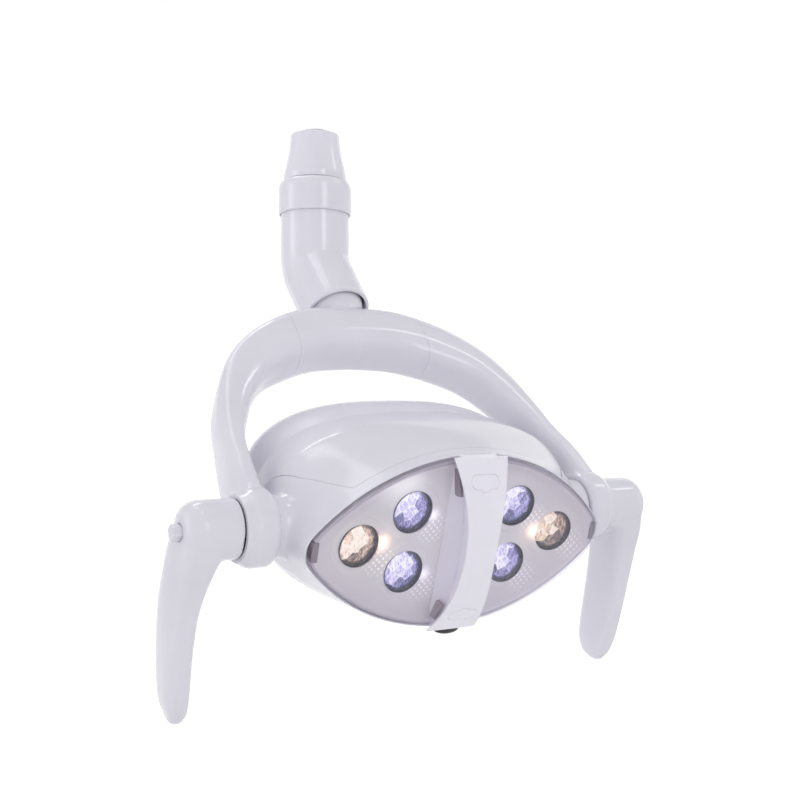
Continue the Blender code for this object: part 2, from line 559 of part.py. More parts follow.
# ---------------------------------------------------------------- handles, shafts and release buttons
# From the hub's axis to the tip: drop, sideways, forwards, half width, half depth
BLADE = [(4, 197, 0, 19, 22), (-18, 203, -2, 16.5, 23.4), (-40, 207, -4, 13.2, 23.2), (-62, 209.5, -5, 11.4, 22.8),
         (-86, 210, -4, 10.4, 22.2), (-108, 209.5, -2.5, 9.8, 21.4), (-128, 208.5, -1, 9.2, 20.2),
         (-143, 207.5, 0, 8.2, 17.2), (-151, 207, 1, 6.2, 12.4)]
for side, word in ((-1, "left"), (1, "right")):
    rings = []
    for y, x, z, a, b in spline(BLADE, 12):
        rings.append([(side * x + p, y, z + q) for p, q in superellipse(a, b, 2.5, 16)])
    y, x, z, a, b = BLADE[-1]
    rings.append([(side * x + p, 1 - HANDLE_LONG, z + q) for p, q in superellipse(a * 0.6, b * 0.55, 2.3, 16)])
    handle = loft("handle_" + word, rings, HEAD, WHITE, sharp=50)
    combine(handle, lathe("hub", [
        (HUB_R - 0.6, HUB_IN), (HUB_R, HUB_IN + 0.6), (HUB_R, 204), (HUB_R - 1.2, 209), (HUB_R - 4.2, 213.6),
        (HUB_R - 8.4, 216.2), (HUB_R - 13, HUB_OUT)], HEAD, WHITE, 32, along="x", side=side), "UNION")
    combine(handle, lathe("shaft_room", [
        (SHAFT_R + 0.4, 165), (SHAFT_R + 0.4, 201.5), (9.2, 201.5), (9.2, 209), (7.0, 209), (7.0, 235)],
        HEAD, WHITE, 24, along="x", side=side))
    lathe("pivot_shaft_" + word, [(8.6, 118), (20, 118), (20, 122), (SHAFT_R, 122), (SHAFT_R, 193), (8.6, 193)],
          HEAD, STEEL, 24, ring=True, along="x", side=side)
    lathe("friction_ring_" + word, [(12.4, 173.9), (22.9, 173.9), (22.9, 175.1), (12.4, 175.1)],
          HEAD, BLACK, 24, ring=True, along="x", side=side)
    axis = empty("button_axis_" + word, Matrix.Identity(4), HEAD)
    button = lathe("button_" + word, [
        (3.6, 202.2), (3.6, 204.2), (8.7, 204.2), (8.7, 206.6), (BUTTON_R, 206.6), (BUTTON_R, BUTTON_END - 0.7),
        (BUTTON_R - 0.8, BUTTON_END)], axis, WHITE, 20, along="x", side=side)
    low, high = sorted((side * 209.6, side * 240))
    combine(button, box("flat", (low, 3.0, -10), (high, 10, 10), axis, WHITE))
    turns, coil, wire, steps = 3.0, 6.6, 0.6, 10
    rings = []
    for k in range(int(turns * steps) + 1):
        t = 2 * math.pi * k / steps
        along = 194.1 + 9.1 * k / (turns * steps)
        wire_ring = [(wire * math.cos(math.pi * j / 2), wire * math.sin(math.pi * j / 2)) for j in range(4)]
        rings.append([(side * (along + up), (coil + out) * math.cos(t), (coil + out) * math.sin(t))
                      for out, up in wire_ring])
    loft("button_spring_" + word, rings, HEAD, STEEL)
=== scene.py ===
"""Looks of the dental operating light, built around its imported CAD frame.

Lengths in the tables and profiles are millimetres, in the frame of the piece that they describe:
the arm's (z up from the elbow's bend), the yoke's (z back up the outlet) or the lamp head's
(x along the tilt axis, y up the face, z out of the face). The driving sizes are the CAD model's.
"""
import json
from math import atan2, cos, pi, radians, sin, tan

import bmesh
import bpy
import numpy as np
from mathutils import Matrix, Vector
from mathutils.bvhtree import BVHTree


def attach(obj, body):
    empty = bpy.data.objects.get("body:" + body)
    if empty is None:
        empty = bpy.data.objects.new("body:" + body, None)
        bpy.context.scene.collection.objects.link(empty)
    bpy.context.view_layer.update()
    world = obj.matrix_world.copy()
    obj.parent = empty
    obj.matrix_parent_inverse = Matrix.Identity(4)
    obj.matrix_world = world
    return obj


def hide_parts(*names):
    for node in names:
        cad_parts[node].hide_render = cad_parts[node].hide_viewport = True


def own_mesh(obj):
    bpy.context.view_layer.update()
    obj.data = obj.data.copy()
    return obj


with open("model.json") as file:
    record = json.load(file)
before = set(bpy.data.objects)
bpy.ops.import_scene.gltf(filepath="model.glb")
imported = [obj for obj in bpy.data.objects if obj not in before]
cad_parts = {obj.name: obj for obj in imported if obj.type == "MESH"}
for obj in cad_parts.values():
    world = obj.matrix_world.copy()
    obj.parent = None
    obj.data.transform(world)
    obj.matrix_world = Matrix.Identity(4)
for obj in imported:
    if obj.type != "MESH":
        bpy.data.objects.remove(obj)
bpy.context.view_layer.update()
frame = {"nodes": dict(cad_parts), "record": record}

MM = 0.001

# Pose and driving sizes, as in the CAD model but for the yoke's neck (24.6) and the hub's inner end (175.4)
ELBOW_BEND, YOKE_SWIVEL, HEAD_TILT = 40.5, -3.0, 61.5
ARM_TOP, TILT_AXIS_AT = 134.0, 309.0
COLLAR_R, COLLAR_LOW, COLLAR_TOP = 35.6, 51.5, 84.5
ELBOW_R, LIP_R, LIP_AT = 33.2, 32.4, 66.8
SPIGOT_R, SHAFT_R, NECK_R = 16.0, 11.8, 27.2
BOSS_R, BOSS_IN, BOSS_OUT = 30.4, 147.5, 173.6
FACE_W, FACE_H, FACE_Y, CORNER_R = 137.5, 74.0, -2.3, 20.0
RIM_Z, SEAM_Z, TURN_Z, BACK_Z, WALL = 42.5, 35.5, -58.0, -122.0, 2.6
COVER_Z, DOME_H, PANEL_Z, PANEL_EDGE = 50.5, 22.5, 44.6, 17.8
LENS_FOCUS = 870.0
LENSES = [(-91.2, -0.5), (-48.3, 24.4), (-48.3, -25.4), (48.3, 24.4), (48.3, -25.4), (91.2, -0.5)]
HUB_R, HUB_IN, HUB_OUT = 23.0, 174.8, 217.0
BUTTON_R, BUTTON_END = 6.3, 223.6
SIDES = ((-1, "left"), (1, "right"))


def turn(angle, axis):
    return Matrix.Rotation(radians(angle), 4, axis)


def shift(x, y, z):
    return Matrix.Translation((x * MM, y * MM, z * MM))


ARM = shift(0, 0, -ARM_TOP)
YOKE = ARM @ turn(-ELBOW_BEND, "X") @ turn(YOKE_SWIVEL, "Z")
HEAD = YOKE @ shift(0, 0, -TILT_AXIS_AT) @ turn(HEAD_TILT, "X") @ Matrix(
    ((1, 0, 0, 0), (0, 0, -1, 0), (0, 1, 0, 0), (0, 0, 0, 1)))


# ---- materials
class Nodes:
    """A material's node tree, with one-line ways to add a node and to wire it."""

    def __init__(self, name):
        self.material = bpy.data.materials.new(name)
        self.material.use_nodes = True
        self.tree = self.material.node_tree
        self.shader = self.tree.nodes["Principled BSDF"]

    def add(self, kind, values=None, **settings):
        node = self.tree.nodes.new("ShaderNode" + kind)
        for key, value in settings.items():
            setattr(node, key, value)
        for key, value in (values or {}).items():
            if isinstance(value, bpy.types.NodeSocket):
                self.tree.links.new(value, node.inputs[key])
            else:
                node.inputs[key].default_value = value
        return node

    def give(self, name, value):
        """Sets an input of the main shader, or wires a socket to it."""
        if isinstance(value, bpy.types.NodeSocket):
            self.tree.links.new(value, self.shader.inputs[name])
        else:
            self.shader.inputs[name].default_value = value

    def where(self):
        return self.add("TexCoord").outputs["Object"]

    def noise(self, scale, detail=3.0, vector=None, distortion=0.0):
        values = {"Vector": vector or self.where(), "Scale": scale, "Detail": detail,
                  "Distortion": distortion}
        return self.add("TexNoise", values).outputs["Fac"]

    def ramp(self, factor, *stops):
        """A colour ramp through (position, colour) stops."""
        node = self.add("ValToRGB", {"Fac": factor})
        band = node.color_ramp
        while len(band.elements) < len(stops):
            band.elements.new(0.5)
        for element, (at, colour) in zip(band.elements, stops):
            element.position = at
            element.color = (*colour, 1.0) if len(colour) == 3 else colour
        return node.outputs["Color"]

    def remap(self, value, start, end, at_start, at_end, kind="LINEAR"):
        """The stretch from start to end carried over to new values, and held beyond its ends."""
        values = {"Value": value, "From Min": start, "From Max": end, "To Min": at_start, "To Max": at_end}
        return self.add("MapRange", values, interpolation_type=kind).outputs["Result"]

    def spread(self, factor, low, high):
        return self.remap(factor, 0.0, 1.0, low, high)

    def math(self, operation, a, b=0.0, clamp=False):
        return self.add("Math", {0: a, 1: b}, operation=operation, use_clamp=clamp).outputs[0]

    def bump(self, height, strength, distance):
        made = self.add("Bump", {"Height": height, "Strength": strength, "Distance": distance})
        return made.outputs["Normal"]

    def distance(self, a, b):
        return self.add("VectorMath", {0: a, 1: b}, operation="DISTANCE").outputs["Value"]

    def scaled(self, colour, amount):
        return self.add("VectorMath", {0: colour, "Scale": amount}, operation="SCALE").outputs[0]

    def plus(self, a, b):
        return self.add("VectorMath", {0: a, 1: b}, operation="ADD").outputs[0]


def tones(colour, low, high):
    return tuple(c * low for c in colour), tuple(min(c * high, 1.0) for c in colour)


def moulded(name, colour, rough, coat=0.0):
    """Injection-moulded plastic: faint cloudiness in the colour, a fine texture and uneven gloss."""
    n = Nodes(name)
    dark, light = tones(colour, 0.98, 1.02)
    n.give("Base Color", n.ramp(n.noise(14.0, 4.0), (0.35, dark), (0.65, light)))
    n.give("Roughness", n.spread(n.noise(46.0, 5.0), rough * 0.86, rough * 1.18))
    flow, fine = n.noise(70.0, 2.0), n.noise(900.0, 3.0)
    height = n.math("ADD", n.math("MULTIPLY", flow, 3.0), fine)
    n.give("Normal", n.bump(height, 0.012, 0.001))
    n.give("Coat Weight", coat)
    n.give("Coat Roughness", 0.06)
    return n.material


def metal(name, colour, rough, brushed=0.0):
    """Turned or ground metal, with fine tool marks round the axis and uneven roughness."""
    n = Nodes(name)
    stretch = n.add("Mapping", {"Vector": n.where(), "Scale": (1.0, 1.0, 1.0 + 14.0 * brushed)})
    marks = n.noise(320.0, 4.0, stretch.outputs["Vector"])
    dark, light = tones(colour, 0.88, 1.1)
    n.give("Base Color", n.ramp(marks, (0.3, dark), (0.7, light)))
    n.give("Roughness", n.spread(marks, rough * 0.7, rough * 1.3))
    n.give("Normal", n.bump(marks, 0.08, 0.0004))
    n.give("Metallic", 1.0)
    return n.material


def circuit_board(name):
    """Green lacquer over fine copper tracks."""
    n = Nodes(name)
    tracks = n.add("TexBrick", {"Vector": n.where(), "Scale": 160.0, "Color1": (0.02, 0.16, 0.08, 1),
                                "Color2": (0.03, 0.2, 0.1, 1), "Mortar": (0.05, 0.3, 0.14, 1),
                                "Mortar Size": 0.03})
    n.give("Base Color", tracks.outputs["Color"])
    n.give("Normal", n.bump(tracks.outputs["Fac"], 0.2, 0.0003))
    n.give("Roughness", 0.35)
    return n.material


def clear_plastic(name, through, edge, mirror=0.05, tint_power=3.0):
    """A thin clear wall: seen through face on, tinted and mirror-like where it is seen edge on."""
    n = Nodes(name)
    facing = n.add("LayerWeight", {"Blend": 0.5}).outputs["Facing"]
    tint = n.ramp(n.math("POWER", facing, tint_power), (0.0, through), (1.0, edge))
    clear = n.add("BsdfTransparent", {"Color": tint}).outputs[0]
    haze = n.spread(n.noise(60.0, 3.0), 0.021, 0.042)
    shine = n.add("BsdfGlossy", {"Color": (1, 1, 1, 1), "Roughness": haze}).outputs[0]
    share = n.math("ADD", n.math("MULTIPLY", n.math("POWER", facing, 4.0), 0.75), mirror, clamp=True)
    mix = n.add("MixShader", {0: share, 1: clear, 2: shine})
    n.tree.links.new(mix.outputs[0], n.tree.nodes["Material Output"].inputs["Surface"])
    return n.material


def near(n, place, centre, reach, power=2.0):
    """1 at a point of the lamp face, falling to 0 at the reach, in the face's millimetres."""
    return n.math("POWER", n.remap(n.distance(place, centre), 0.0, reach, 1.0, 0.0), power)


# Painted stray light by a warm and by a cool lens, drawn as glowing pools on the face: offset towards the
# middle and up, reach and strength
WARM_PAINTED_POOLS = [((19.0, 1.5), 11.0, 3.4), ((21.0, 1.0), 26.0, 0.42), ((0, 0), 44.0, 0.12)]
COOL_PAINTED_POOLS = [((18.4, -3.0), 10.0, 1.2), ((10.0, 2.0), 46.0, 0.15)]
WARM_PAINTED_LIGHT, COOL_PAINTED_LIGHT = (1.0, 0.66, 0.42), (0.88, 0.84, 1.0)
# Painted reflection of the lenses in the clear cover: the colours of its soft spots and the width of one
# wave of their lattice
WARM_REFLECTED_DOTS, COOL_REFLECTED_DOTS = (1.0, 0.9, 0.78), (0.84, 0.78, 1.0)
DOT_WAVE = 5.6         # width of one wave of the lattice of spots
WARM_FROM = 60.0       # lenses further than this from the middle are warm


def lit_plastic(name, colour, rough, reflected_dots=True, painted_glow=0.0):
    """Satin plastic of the lamp face with painted light drawn as emission: an even painted glow, painted
    pools of stray light beside the lenses and a lattice of soft spots below them that paints the lenses'
    reflection in the cover. The attribute "face" holds the place on the face in millimetres."""
    n = Nodes(name)
    place = n.add("Attribute", attribute_name="face").outputs["Vector"]
    dark, light = tones(colour, 0.98, 1.02)
    n.give("Base Color", n.ramp(n.noise(20.0, 4.0), (0.35, dark), (0.65, light)))
    n.give("Roughness", n.spread(n.noise(60.0, 4.0), rough * 0.9, rough * 1.1))
    n.give("Normal", n.bump(n.noise(1100.0, 2.0), 0.02, 0.001))
    # An even painted glow all over, though this plastic is no lamp
    glow = n.scaled((0.95, 0.9, 1.0), painted_glow)
    # The lattice of the painted reflected spots
    if reflected_dots:
        split = n.add("SeparateXYZ", {0: place}).outputs
        waves = [n.math("SINE", n.math("MULTIPLY", split[k], 2 * pi / DOT_WAVE)) for k in (0, 1)]
        lattice = n.math("MULTIPLY", waves[0], waves[1])
        lattice = n.math("POWER", n.math("MAXIMUM", lattice, 0.0), 1.6)
    for x, y in LENSES:
        side = 1 if x > 0 else -1
        warm = abs(x) > WARM_FROM
        # Painted pools of stray light beside each lens
        for (dx, dy), reach, strength in WARM_PAINTED_POOLS if warm else COOL_PAINTED_POOLS:
            amount = n.math("MULTIPLY", near(n, place, (x - side * dx, y + dy, PANEL_Z), reach), strength)
            glow = n.plus(glow, n.scaled(WARM_PAINTED_LIGHT if warm else COOL_PAINTED_LIGHT, amount))
        # Painted reflection of the lens in the cover: soft spots beside and below it
        if reflected_dots:
            patch = near(n, place, (x + 19, y - 13, PANEL_Z), 15.0, 0.6)
            amount = n.math("MULTIPLY", n.math("MULTIPLY", patch, lattice), 1.1)
            glow = n.plus(glow, n.scaled(WARM_REFLECTED_DOTS if warm else COOL_REFLECTED_DOTS, amount))
    n.give("Emission Color", glow)
    n.give("Emission Strength", 0.6)
    return n.material


def lit_lens(name, shades):
    """A lit facetted optic whose glow carries painted light and shade. Attributes: "facet" is each facet's
    painted brightness, "to_edge" the distance to the facet's edge in millimetres and "local" the place on
    the lens in radii."""
    n = Nodes(name)
    facet = n.add("Attribute", attribute_name="facet").outputs["Fac"]
    to_edge = n.add("Attribute", attribute_name="to_edge").outputs["Fac"]
    local = n.add("Attribute", attribute_name="local").outputs["Vector"]
    jump = n.add("CombineXYZ", {0: n.math("MULTIPLY", facet, 17.0), 1: n.math("MULTIPLY", facet, 31.0)})
    broken = n.plus(local, jump.outputs[0])
    drawn = n.add("Mapping", {"Vector": broken, "Scale": (2.2, 1.0, 1.0), "Rotation": (0, 0, 0.3)})
    crumple = n.noise(2.6, 6.0, drawn.outputs["Vector"], 1.6)
    streak = n.noise(9.0, 4.0, drawn.outputs["Vector"], 0.6)
    # Painted highlight: brighter lines along the facet edges
    rib = n.math("MULTIPLY", n.remap(to_edge, 0.0, 0.5, 1.0, 0.0), n.math("MULTIPLY", facet, 0.4))
    uneven = n.math("SUBTRACT", n.math("ADD", crumple, n.math("MULTIPLY", streak, 0.5)), 0.75)
    out = n.add("VectorMath", {0: local}, operation="LENGTH").outputs["Value"]
    level = n.math("ADD", n.math("ADD", facet, rib), n.math("MULTIPLY", uneven, 1.5))
    # Painted shade: darker towards the lens's rim
    level = n.math("SUBTRACT", level, n.remap(out, 0.84, 1.0, 0.0, 0.5), clamp=True)
    n.give("Emission Color", n.ramp(level, *shades))
    n.give("Emission Strength", 0.95)
    n.give("Base Color", (0.05, 0.05, 0.08, 1))
    n.give("Roughness", n.spread(crumple, 0.04, 0.14))
    n.give("Normal", n.bump(crumple, 0.3, 0.0008))
    n.give("Coat Weight", 0.3)
    return n.material


WHITE = moulded("white_gloss_plastic", (0.795, 0.785, 0.85), 0.14, coat=0.05)
# The bridge and the panels carry painted light: an even painted glow, painted pools of stray light by the
# lenses, and on the panels painted reflected spots
WHITE_FACE = lit_plastic("white_bridge_plastic", (0.77, 0.755, 0.815), 0.24, reflected_dots=False, painted_glow=0.19)
PANEL = lit_plastic("panel_satin_plastic", (0.735, 0.71, 0.735), 0.3, painted_glow=0.05)
COVER = clear_plastic("clear_cover_plastic", (0.98, 0.978, 0.988), (0.8, 0.74, 0.88))
COVER_EDGE = clear_plastic("clear_clip_plastic", (0.94, 0.925, 0.96), (0.76, 0.7, 0.84),
                           mirror=0.12, tint_power=1.5)
SMOKE = moulded("smoked_clip_plastic", (0.27, 0.22, 0.265), 0.12, coat=0.6)
HOLDER = moulded("lens_holder_plastic", (0.035, 0.038, 0.075), 0.1, coat=0.5)
BLACK = moulded("black_gloss_plastic", (0.012, 0.012, 0.016), 0.16, coat=0.5)
RUBBER = moulded("black_ring_rubber", (0.01, 0.01, 0.013), 0.5)
STEEL = metal("ground_steel", (0.55, 0.56, 0.58), 0.28, brushed=1.0)
ALLOY = metal("cast_aluminium", (0.68, 0.69, 0.71), 0.42)
BRONZE = metal("sintered_bronze", (0.6, 0.43, 0.24), 0.4)
NYLON = moulded("natural_nylon", (0.8, 0.79, 0.74), 0.45)
BOARD = circuit_board("green_board")
COOL_LENS = lit_lens("cool_white_lens", (
    (0.0, (0.035, 0.04, 0.09)), (0.25, (0.13, 0.13, 0.3)), (0.5, (0.36, 0.32, 0.66)),
    (0.75, (0.66, 0.6, 0.95)), (1.0, (0.98, 0.95, 1.0))))
WARM_LENS = lit_lens("warm_white_lens", (
    (0.0, (0.05, 0.035, 0.035)), (0.25, (0.24, 0.16, 0.13)), (0.5, (0.62, 0.43, 0.33)),
    (0.75, (0.95, 0.72, 0.55)), (1.0, (1.0, 0.93, 0.84))))
CAD_LOOKS = {"gloss_white": WHITE, "panel_grey": PANEL, "clear_cover": COVER, "cool_lens": COOL_LENS,
             "warm_lens": WARM_LENS, "black_plastic": BLACK, "steel": STEEL, "aluminium": ALLOY,
             "bronze_bush": BRONZE, "nylon": NYLON, "circuit_board": BOARD}


# ---- mesh helpers
def smooth(obj, sharp):
    """Shades smooth up to an angle in degrees, and keeps the angle for later steps."""
    obj.data.polygons.foreach_set("use_smooth", [True] * len(obj.data.polygons))
    obj.data.set_sharp_from_angle(angle=radians(sharp))
    obj["sharp"] = sharp


def build(name, points, faces, placing, sharp=35):
    """A closed mesh from millimetre points, placed in the row frame with its faces turned out."""
    mesh = bpy.data.meshes.new(name)
    mesh.from_pydata([tuple(float(c) * MM for c in p) for p in points], [], faces)
    mesh.transform(placing)
    mesh.validate()
    made = bpy.data.objects.new(name, mesh)
    bpy.context.scene.collection.objects.link(made)
    mesh.calc_loop_triangles()
    co = np.empty(len(mesh.vertices) * 3)
    mesh.vertices.foreach_get("co", co)
    co = co.reshape(-1, 3) - co.reshape(-1, 3).mean(0)
    corners = np.empty(len(mesh.loop_triangles) * 3, int)
    mesh.loop_triangles.foreach_get("vertices", corners)
    if np.linalg.det(co[corners.reshape(-1, 3)]).sum() < 0:
        mesh.flip_normals()
    smooth(made, sharp)
    return made


def loft(name, rings, placing, loop=False, sharp=35):
    """A skin over rings of equal length, capped at both ends, or joined last to first."""
    n = len(rings[0])
    points = [p for ring in rings for p in ring]
    faces = []
    for i in range(len(rings) - (0 if loop else 1)):
        a, b = i * n, (i + 1) % len(rings) * n
        faces += [(a + j, a + (j + 1) % n, b + (j + 1) % n, b + j) for j in range(n)]
    if not loop:
        faces += [tuple(range(n))[::-1], tuple(range(len(points) - n, len(points)))]
    return build(name, points, faces, placing, sharp)


def lathe(name, profile, placing, n=128, ring=False, along="z", side=1):
    """A profile of (radius, distance) turned about z, or about x towards the given side."""
    turns = np.linspace(0, 2 * pi, n, endpoint=False)

    def circle(r, z):
        if along == "z":
            return [(r * cos(t), r * sin(t), z) for t in turns]
        return [(side * z, r * cos(t), r * sin(t)) for t in turns]

    return loft(name, [circle(r, z) for r, z in profile], placing, loop=ring)


def rod(radius, start, end, placing, n=128, along="z", side=1):
    """A plain cylinder for cutting a hole."""
    return lathe("rod", [(radius, start), (radius, end)], placing, n, along=along, side=side)


def rounded(profile, radius, closed=True):
    """The profile with each corner replaced by a short curve, no longer than its sides allow."""
    points = [np.array(p, float) for p in profile]
    out = []
    count = len(points)
    for i, corner in enumerate(points):
        if not closed and i in (0, count - 1):
            out.append(tuple(corner))
            continue
        before, after = points[i - 1] - corner, points[(i + 1) % count] - corner
        reach = min(radius, 0.45 * np.linalg.norm(before), 0.45 * np.linalg.norm(after))
        a = corner + before / np.linalg.norm(before) * reach
        b = corner + after / np.linalg.norm(after) * reach
        for u in np.linspace(0, 1, 4):
            out.append(tuple((1 - u) ** 2 * a + 2 * u * (1 - u) * corner + u**2 * b))
    return out


def box(name, low, high, placing):
    x, y, z = zip(low, high)
    ring = [(0, 0), (1, 0), (1, 1), (0, 1)]
    return loft(name, [[(x[i], y[j], z[k]) for i, j in ring] for k in (0, 1)], placing)


def settled(obj):
    """Applies the object's modifiers at once."""
    bpy.context.view_layer.update()
    graph = bpy.context.evaluated_depsgraph_get()
    made = bpy.data.meshes.new_from_object(obj.evaluated_get(graph))
    obj.modifiers.clear()
    obj.data = made
    return obj


def combine(obj, other, how="DIFFERENCE", keep=False):
    """Cuts the object by the other one, or joins them, and removes the other one unless it is kept."""
    step = obj.modifiers.new("step", "BOOLEAN")
    step.operation, step.solver, step.object = how, "MANIFOLD", other
    settled(obj)
    smooth(obj, obj["sharp"])
    if not keep:
        bpy.data.objects.remove(other)
    return obj


def copy(obj, name):
    made = obj.copy()
    made.data = obj.data.copy()
    made.name = name
    bpy.context.scene.collection.objects.link(made)
    return made


def mirrored(obj, name):
    """A copy on the other side of the lamp head."""
    made = copy(obj, name)
    made.data.transform(HEAD @ Matrix.Diagonal((-1, 1, 1, 1)) @ HEAD.inverted())
    made.data.flip_normals()
    return made


def tree_of(obj):
    return BVHTree.FromPolygons([v.co for v in obj.data.vertices], [p.vertices for p in obj.data.polygons])


def fuse(name, parts, voxel, fillet, rounds=40, sharp=35):
    """One even skin over overlapping closed shapes, true to each of them, with a fillet where they meet."""
    trees = [tree_of(part) for part in parts]
    made = copy(parts[0], name)
    joined = bmesh.new()
    for part in parts:
        joined.from_mesh(part.data)
    joined.to_mesh(made.data)
    joined.free()
    target = copy(made, name + "_target")
    step = made.modifiers.new("even", "REMESH")
    step.mode, step.voxel_size = "VOXEL", voxel * MM
    settled(made)
    step = made.modifiers.new("onto", "SHRINKWRAP")
    step.target, step.wrap_method = target, "NEAREST_SURFACEPOINT"
    settled(made)
    corner = made.vertex_groups.new(name="corner")
    reach = 2 * fillet * MM
    for vertex in made.data.vertices:
        apart = sorted(tree.find_nearest(vertex.co, reach)[3] or reach for tree in trees)[1]
        weight = 1.3 - apart / (fillet * MM)
        if weight > 0:
            corner.add([vertex.index], min(weight, 1.0), "REPLACE")
    step = made.modifiers.new("fillet", "SMOOTH")
    step.factor, step.iterations, step.vertex_group = 0.5, rounds, "corner"
    settled(made)
    made.vertex_groups.clear()
    for spare in [target, *parts]:
        bpy.data.objects.remove(spare)
    smooth(made, sharp)
    return made


def dress(obj, look, body, slot, *nodes):
    """Gives a finished piece its material and its body, and hides the CAD nodes that it stands for; the slot
    is not used.
    """
    obj.data.materials.clear()
    obj.data.materials.append(look)
    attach(obj, body)
    if nodes:
        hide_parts(*nodes)
    return obj


def mark_face(obj):
    """Stores the place on the lamp face, in millimetres, for the painted stray light."""
    back = HEAD.inverted()
    spots = obj.data.attributes.new("face", "FLOAT_VECTOR", "POINT")
    spots.data.foreach_set("vector", [c / MM for v in obj.data.vertices for c in back @ v.co])


def resample(curve, n):
    """n points evenly spaced along a closed curve, starting at its first point."""
    curve = np.asarray(curve, float)
    ends = np.vstack([curve, curve[:1]])
    run = np.concatenate([[0], np.cumsum(np.linalg.norm(np.diff(ends, axis=0), axis=1))])
    at = np.linspace(0, run[-1], n, endpoint=False)
    return np.column_stack([np.interp(at, run, ends[:, k]) for k in (0, 1)])


def superellipse(a, b, power, n):
    t = np.linspace(0, 2 * pi, n, endpoint=False)
    c, s = np.cos(t), np.sin(t)
    return np.column_stack([a * np.sign(c) * abs(c) ** (2 / power), b * np.sign(s) * abs(s) ** (2 / power)])


def even_superellipse(a, b, power, n):
    return resample(superellipse(a, b, power, 720), n)


def spline(knots, samples):
    """A smooth curve through rows of knots, sampled evenly from the first to the last."""
    knots = np.asarray(knots, float)
    slopes = np.gradient(knots, axis=0)
    out = []
    for t in np.linspace(0, len(knots) - 1, samples):
        i = min(int(t), len(knots) - 2)
        u = t - i
        out.append((2 * u**3 - 3 * u**2 + 1) * knots[i] + (u**3 - 2 * u**2 + u) * slopes[i]
                   + (3 * u**2 - 2 * u**3) * knots[i + 1] + (u**3 - u**2) * slopes[i + 1])
    return np.array(out)


# ---- arm end and elbow
def arm_end():
    spigot = lathe("spigot", rounded([
        (0.01, ARM_TOP), (SPIGOT_R, ARM_TOP), (SPIGOT_R, 37), (14.6, 37), (14.6, 35), (SPIGOT_R, 35),
        (SPIGOT_R, 28), (12, 28), (12, ARM_TOP - 7), (0.01, ARM_TOP - 7)], 0.8), ARM, ring=True)
    combine(spigot, box("wire_slot", (6, -3, ARM_TOP - 9), (11, 3, ARM_TOP + 2), ARM))
    dress(spigot, STEEL, "arm_end", "steel", "arm_spigot")

    flare = spline([(30.4, 91.1), (27.9, 102), (25.6, 113), (24.2, 123), (23.6, 131)], 24)
    flare = [tuple(p) for p in flare]
    inside = [(r - 2.4, z) for r, z in flare[::-1]]
    foot = rounded([(27.8, 85.0), (30.4, 85.0), (30.4, 90.2)], 0.5, closed=False)
    top = rounded([flare[-2], flare[-1], (21.2, 131), inside[1]], 0.6, closed=False)
    shroud = lathe("shroud", foot[1:] + flare[:-1] + top[1:-1] + inside[1:] + foot[:1], ARM, ring=True)
    dress(shroud, WHITE, "arm_end", "gloss_white", "arm_shroud")

    collar = lathe("collar", rounded([
        (ELBOW_R + 0.5, COLLAR_LOW), (34.9, COLLAR_LOW), (COLLAR_R, 53.0), (COLLAR_R, 77),
        (COLLAR_R - 1.4, 82), (32.2, COLLAR_TOP), (29, COLLAR_TOP), (29, 68), (SPIGOT_R + 0.4, 68),
        (SPIGOT_R + 0.4, 62), (ELBOW_R + 0.5, 62)], 1.6), ARM, ring=True)
    dress(collar, WHITE, "arm_end", "gloss_white", "arm_collar")


def elbow():
    """A tube down the arm's axis, round the bend about a line at its inner side, and along the outlet."""
    bend = radians(ELBOW_BEND)
    hinge = ELBOW_R + 0.8
    back = hinge * tan(bend / 2)
    span, top, wall = LIP_AT - back, 58.0, 3.2
    sideways = np.array([1, 0, 0])
    turns = np.linspace(0, 2 * pi, 128, endpoint=False)

    def circle(radius, station):
        """Station: from 0 at the tube's top, to 1 and 2 at the two ends of the bend, to 3 at the lip."""
        tilt = bend * min(max(station - 1, 0.0), 1.0)
        across = np.array([0, cos(tilt), -sin(tilt)])
        if station < 1:
            centre = np.array([0, 0, top + (back - top) * station])
        elif station < 2:
            centre = np.array([0, -hinge, back]) + hinge * across
        else:
            along = back + span * (station - 2)
            centre = along * np.array([0, -sin(bend), -cos(bend)])
        return [tuple(centre + radius * (cos(t) * sideways + sin(t) * across)) for t in turns]

    outside = [circle(ELBOW_R, s) for s in [*np.linspace(0.01, 0.98, 6), *np.linspace(1, 2, 20)]]
    taper = LIP_R - ELBOW_R
    outside += [circle(ELBOW_R + taper * s, 2 + s) for s in np.linspace(0.1, 1 - 2.2 / span, 6)]
    lip = []
    for a in np.radians(range(15, 91, 15)):
        lip.append(circle(LIP_R - 1.7 + 1.7 * cos(a), 3 - 1.7 * (1 - sin(a)) / span))
    for a in np.radians(range(75, -1, -25)):
        lip.append(circle(LIP_R - 2.7 - 0.6 * cos(a), 3 - 1.0 * (1 - sin(a)) / span))
    inside = [circle(LIP_R - 3.3, 3 - s / span) for s in (2.5, 8.0)]
    inside += [circle(ELBOW_R - wall, s) for s in [3 - 20 / span, *np.linspace(2, 1, 10), 0.5, 0.01]]
    tube = loft("elbow_tube", outside + lip + inside, ARM, loop=True)
    dress(tube, WHITE, "elbow", "gloss_white", "elbow_cover")


# ---- yoke
# Half of the bow, from its middle to the boss: outer x and depth, inner x and depth, front-to-back
# thickness, set-back, and how far the outer rear edge is drawn in
BOW = [(0, 71.5, 0, 127, 48, 0, 0), (48, 76, 40, 130.5, 48, 0, 4), (90, 94, 73, 142, 47, 0, 12),
       (124, 120.5, 101, 157, 45, 1, 13), (145, 152, 120, 179, 43, 2, 8), (157, 188, 133.5, 204, 42, 3, 1),
       (163, 225, 144, 230, 43, 3, 0), (168, 259, 148.5, 258, 49, 1, 0), (172, 289, 149, 289, 51, 0, 0)]
BOW_NECK = [(18, -92), (20.5, -80), (23.4, -73), (25.8, -67), (NECK_R, -61), (NECK_R, -49),
            (NECK_R - 1, -48)]


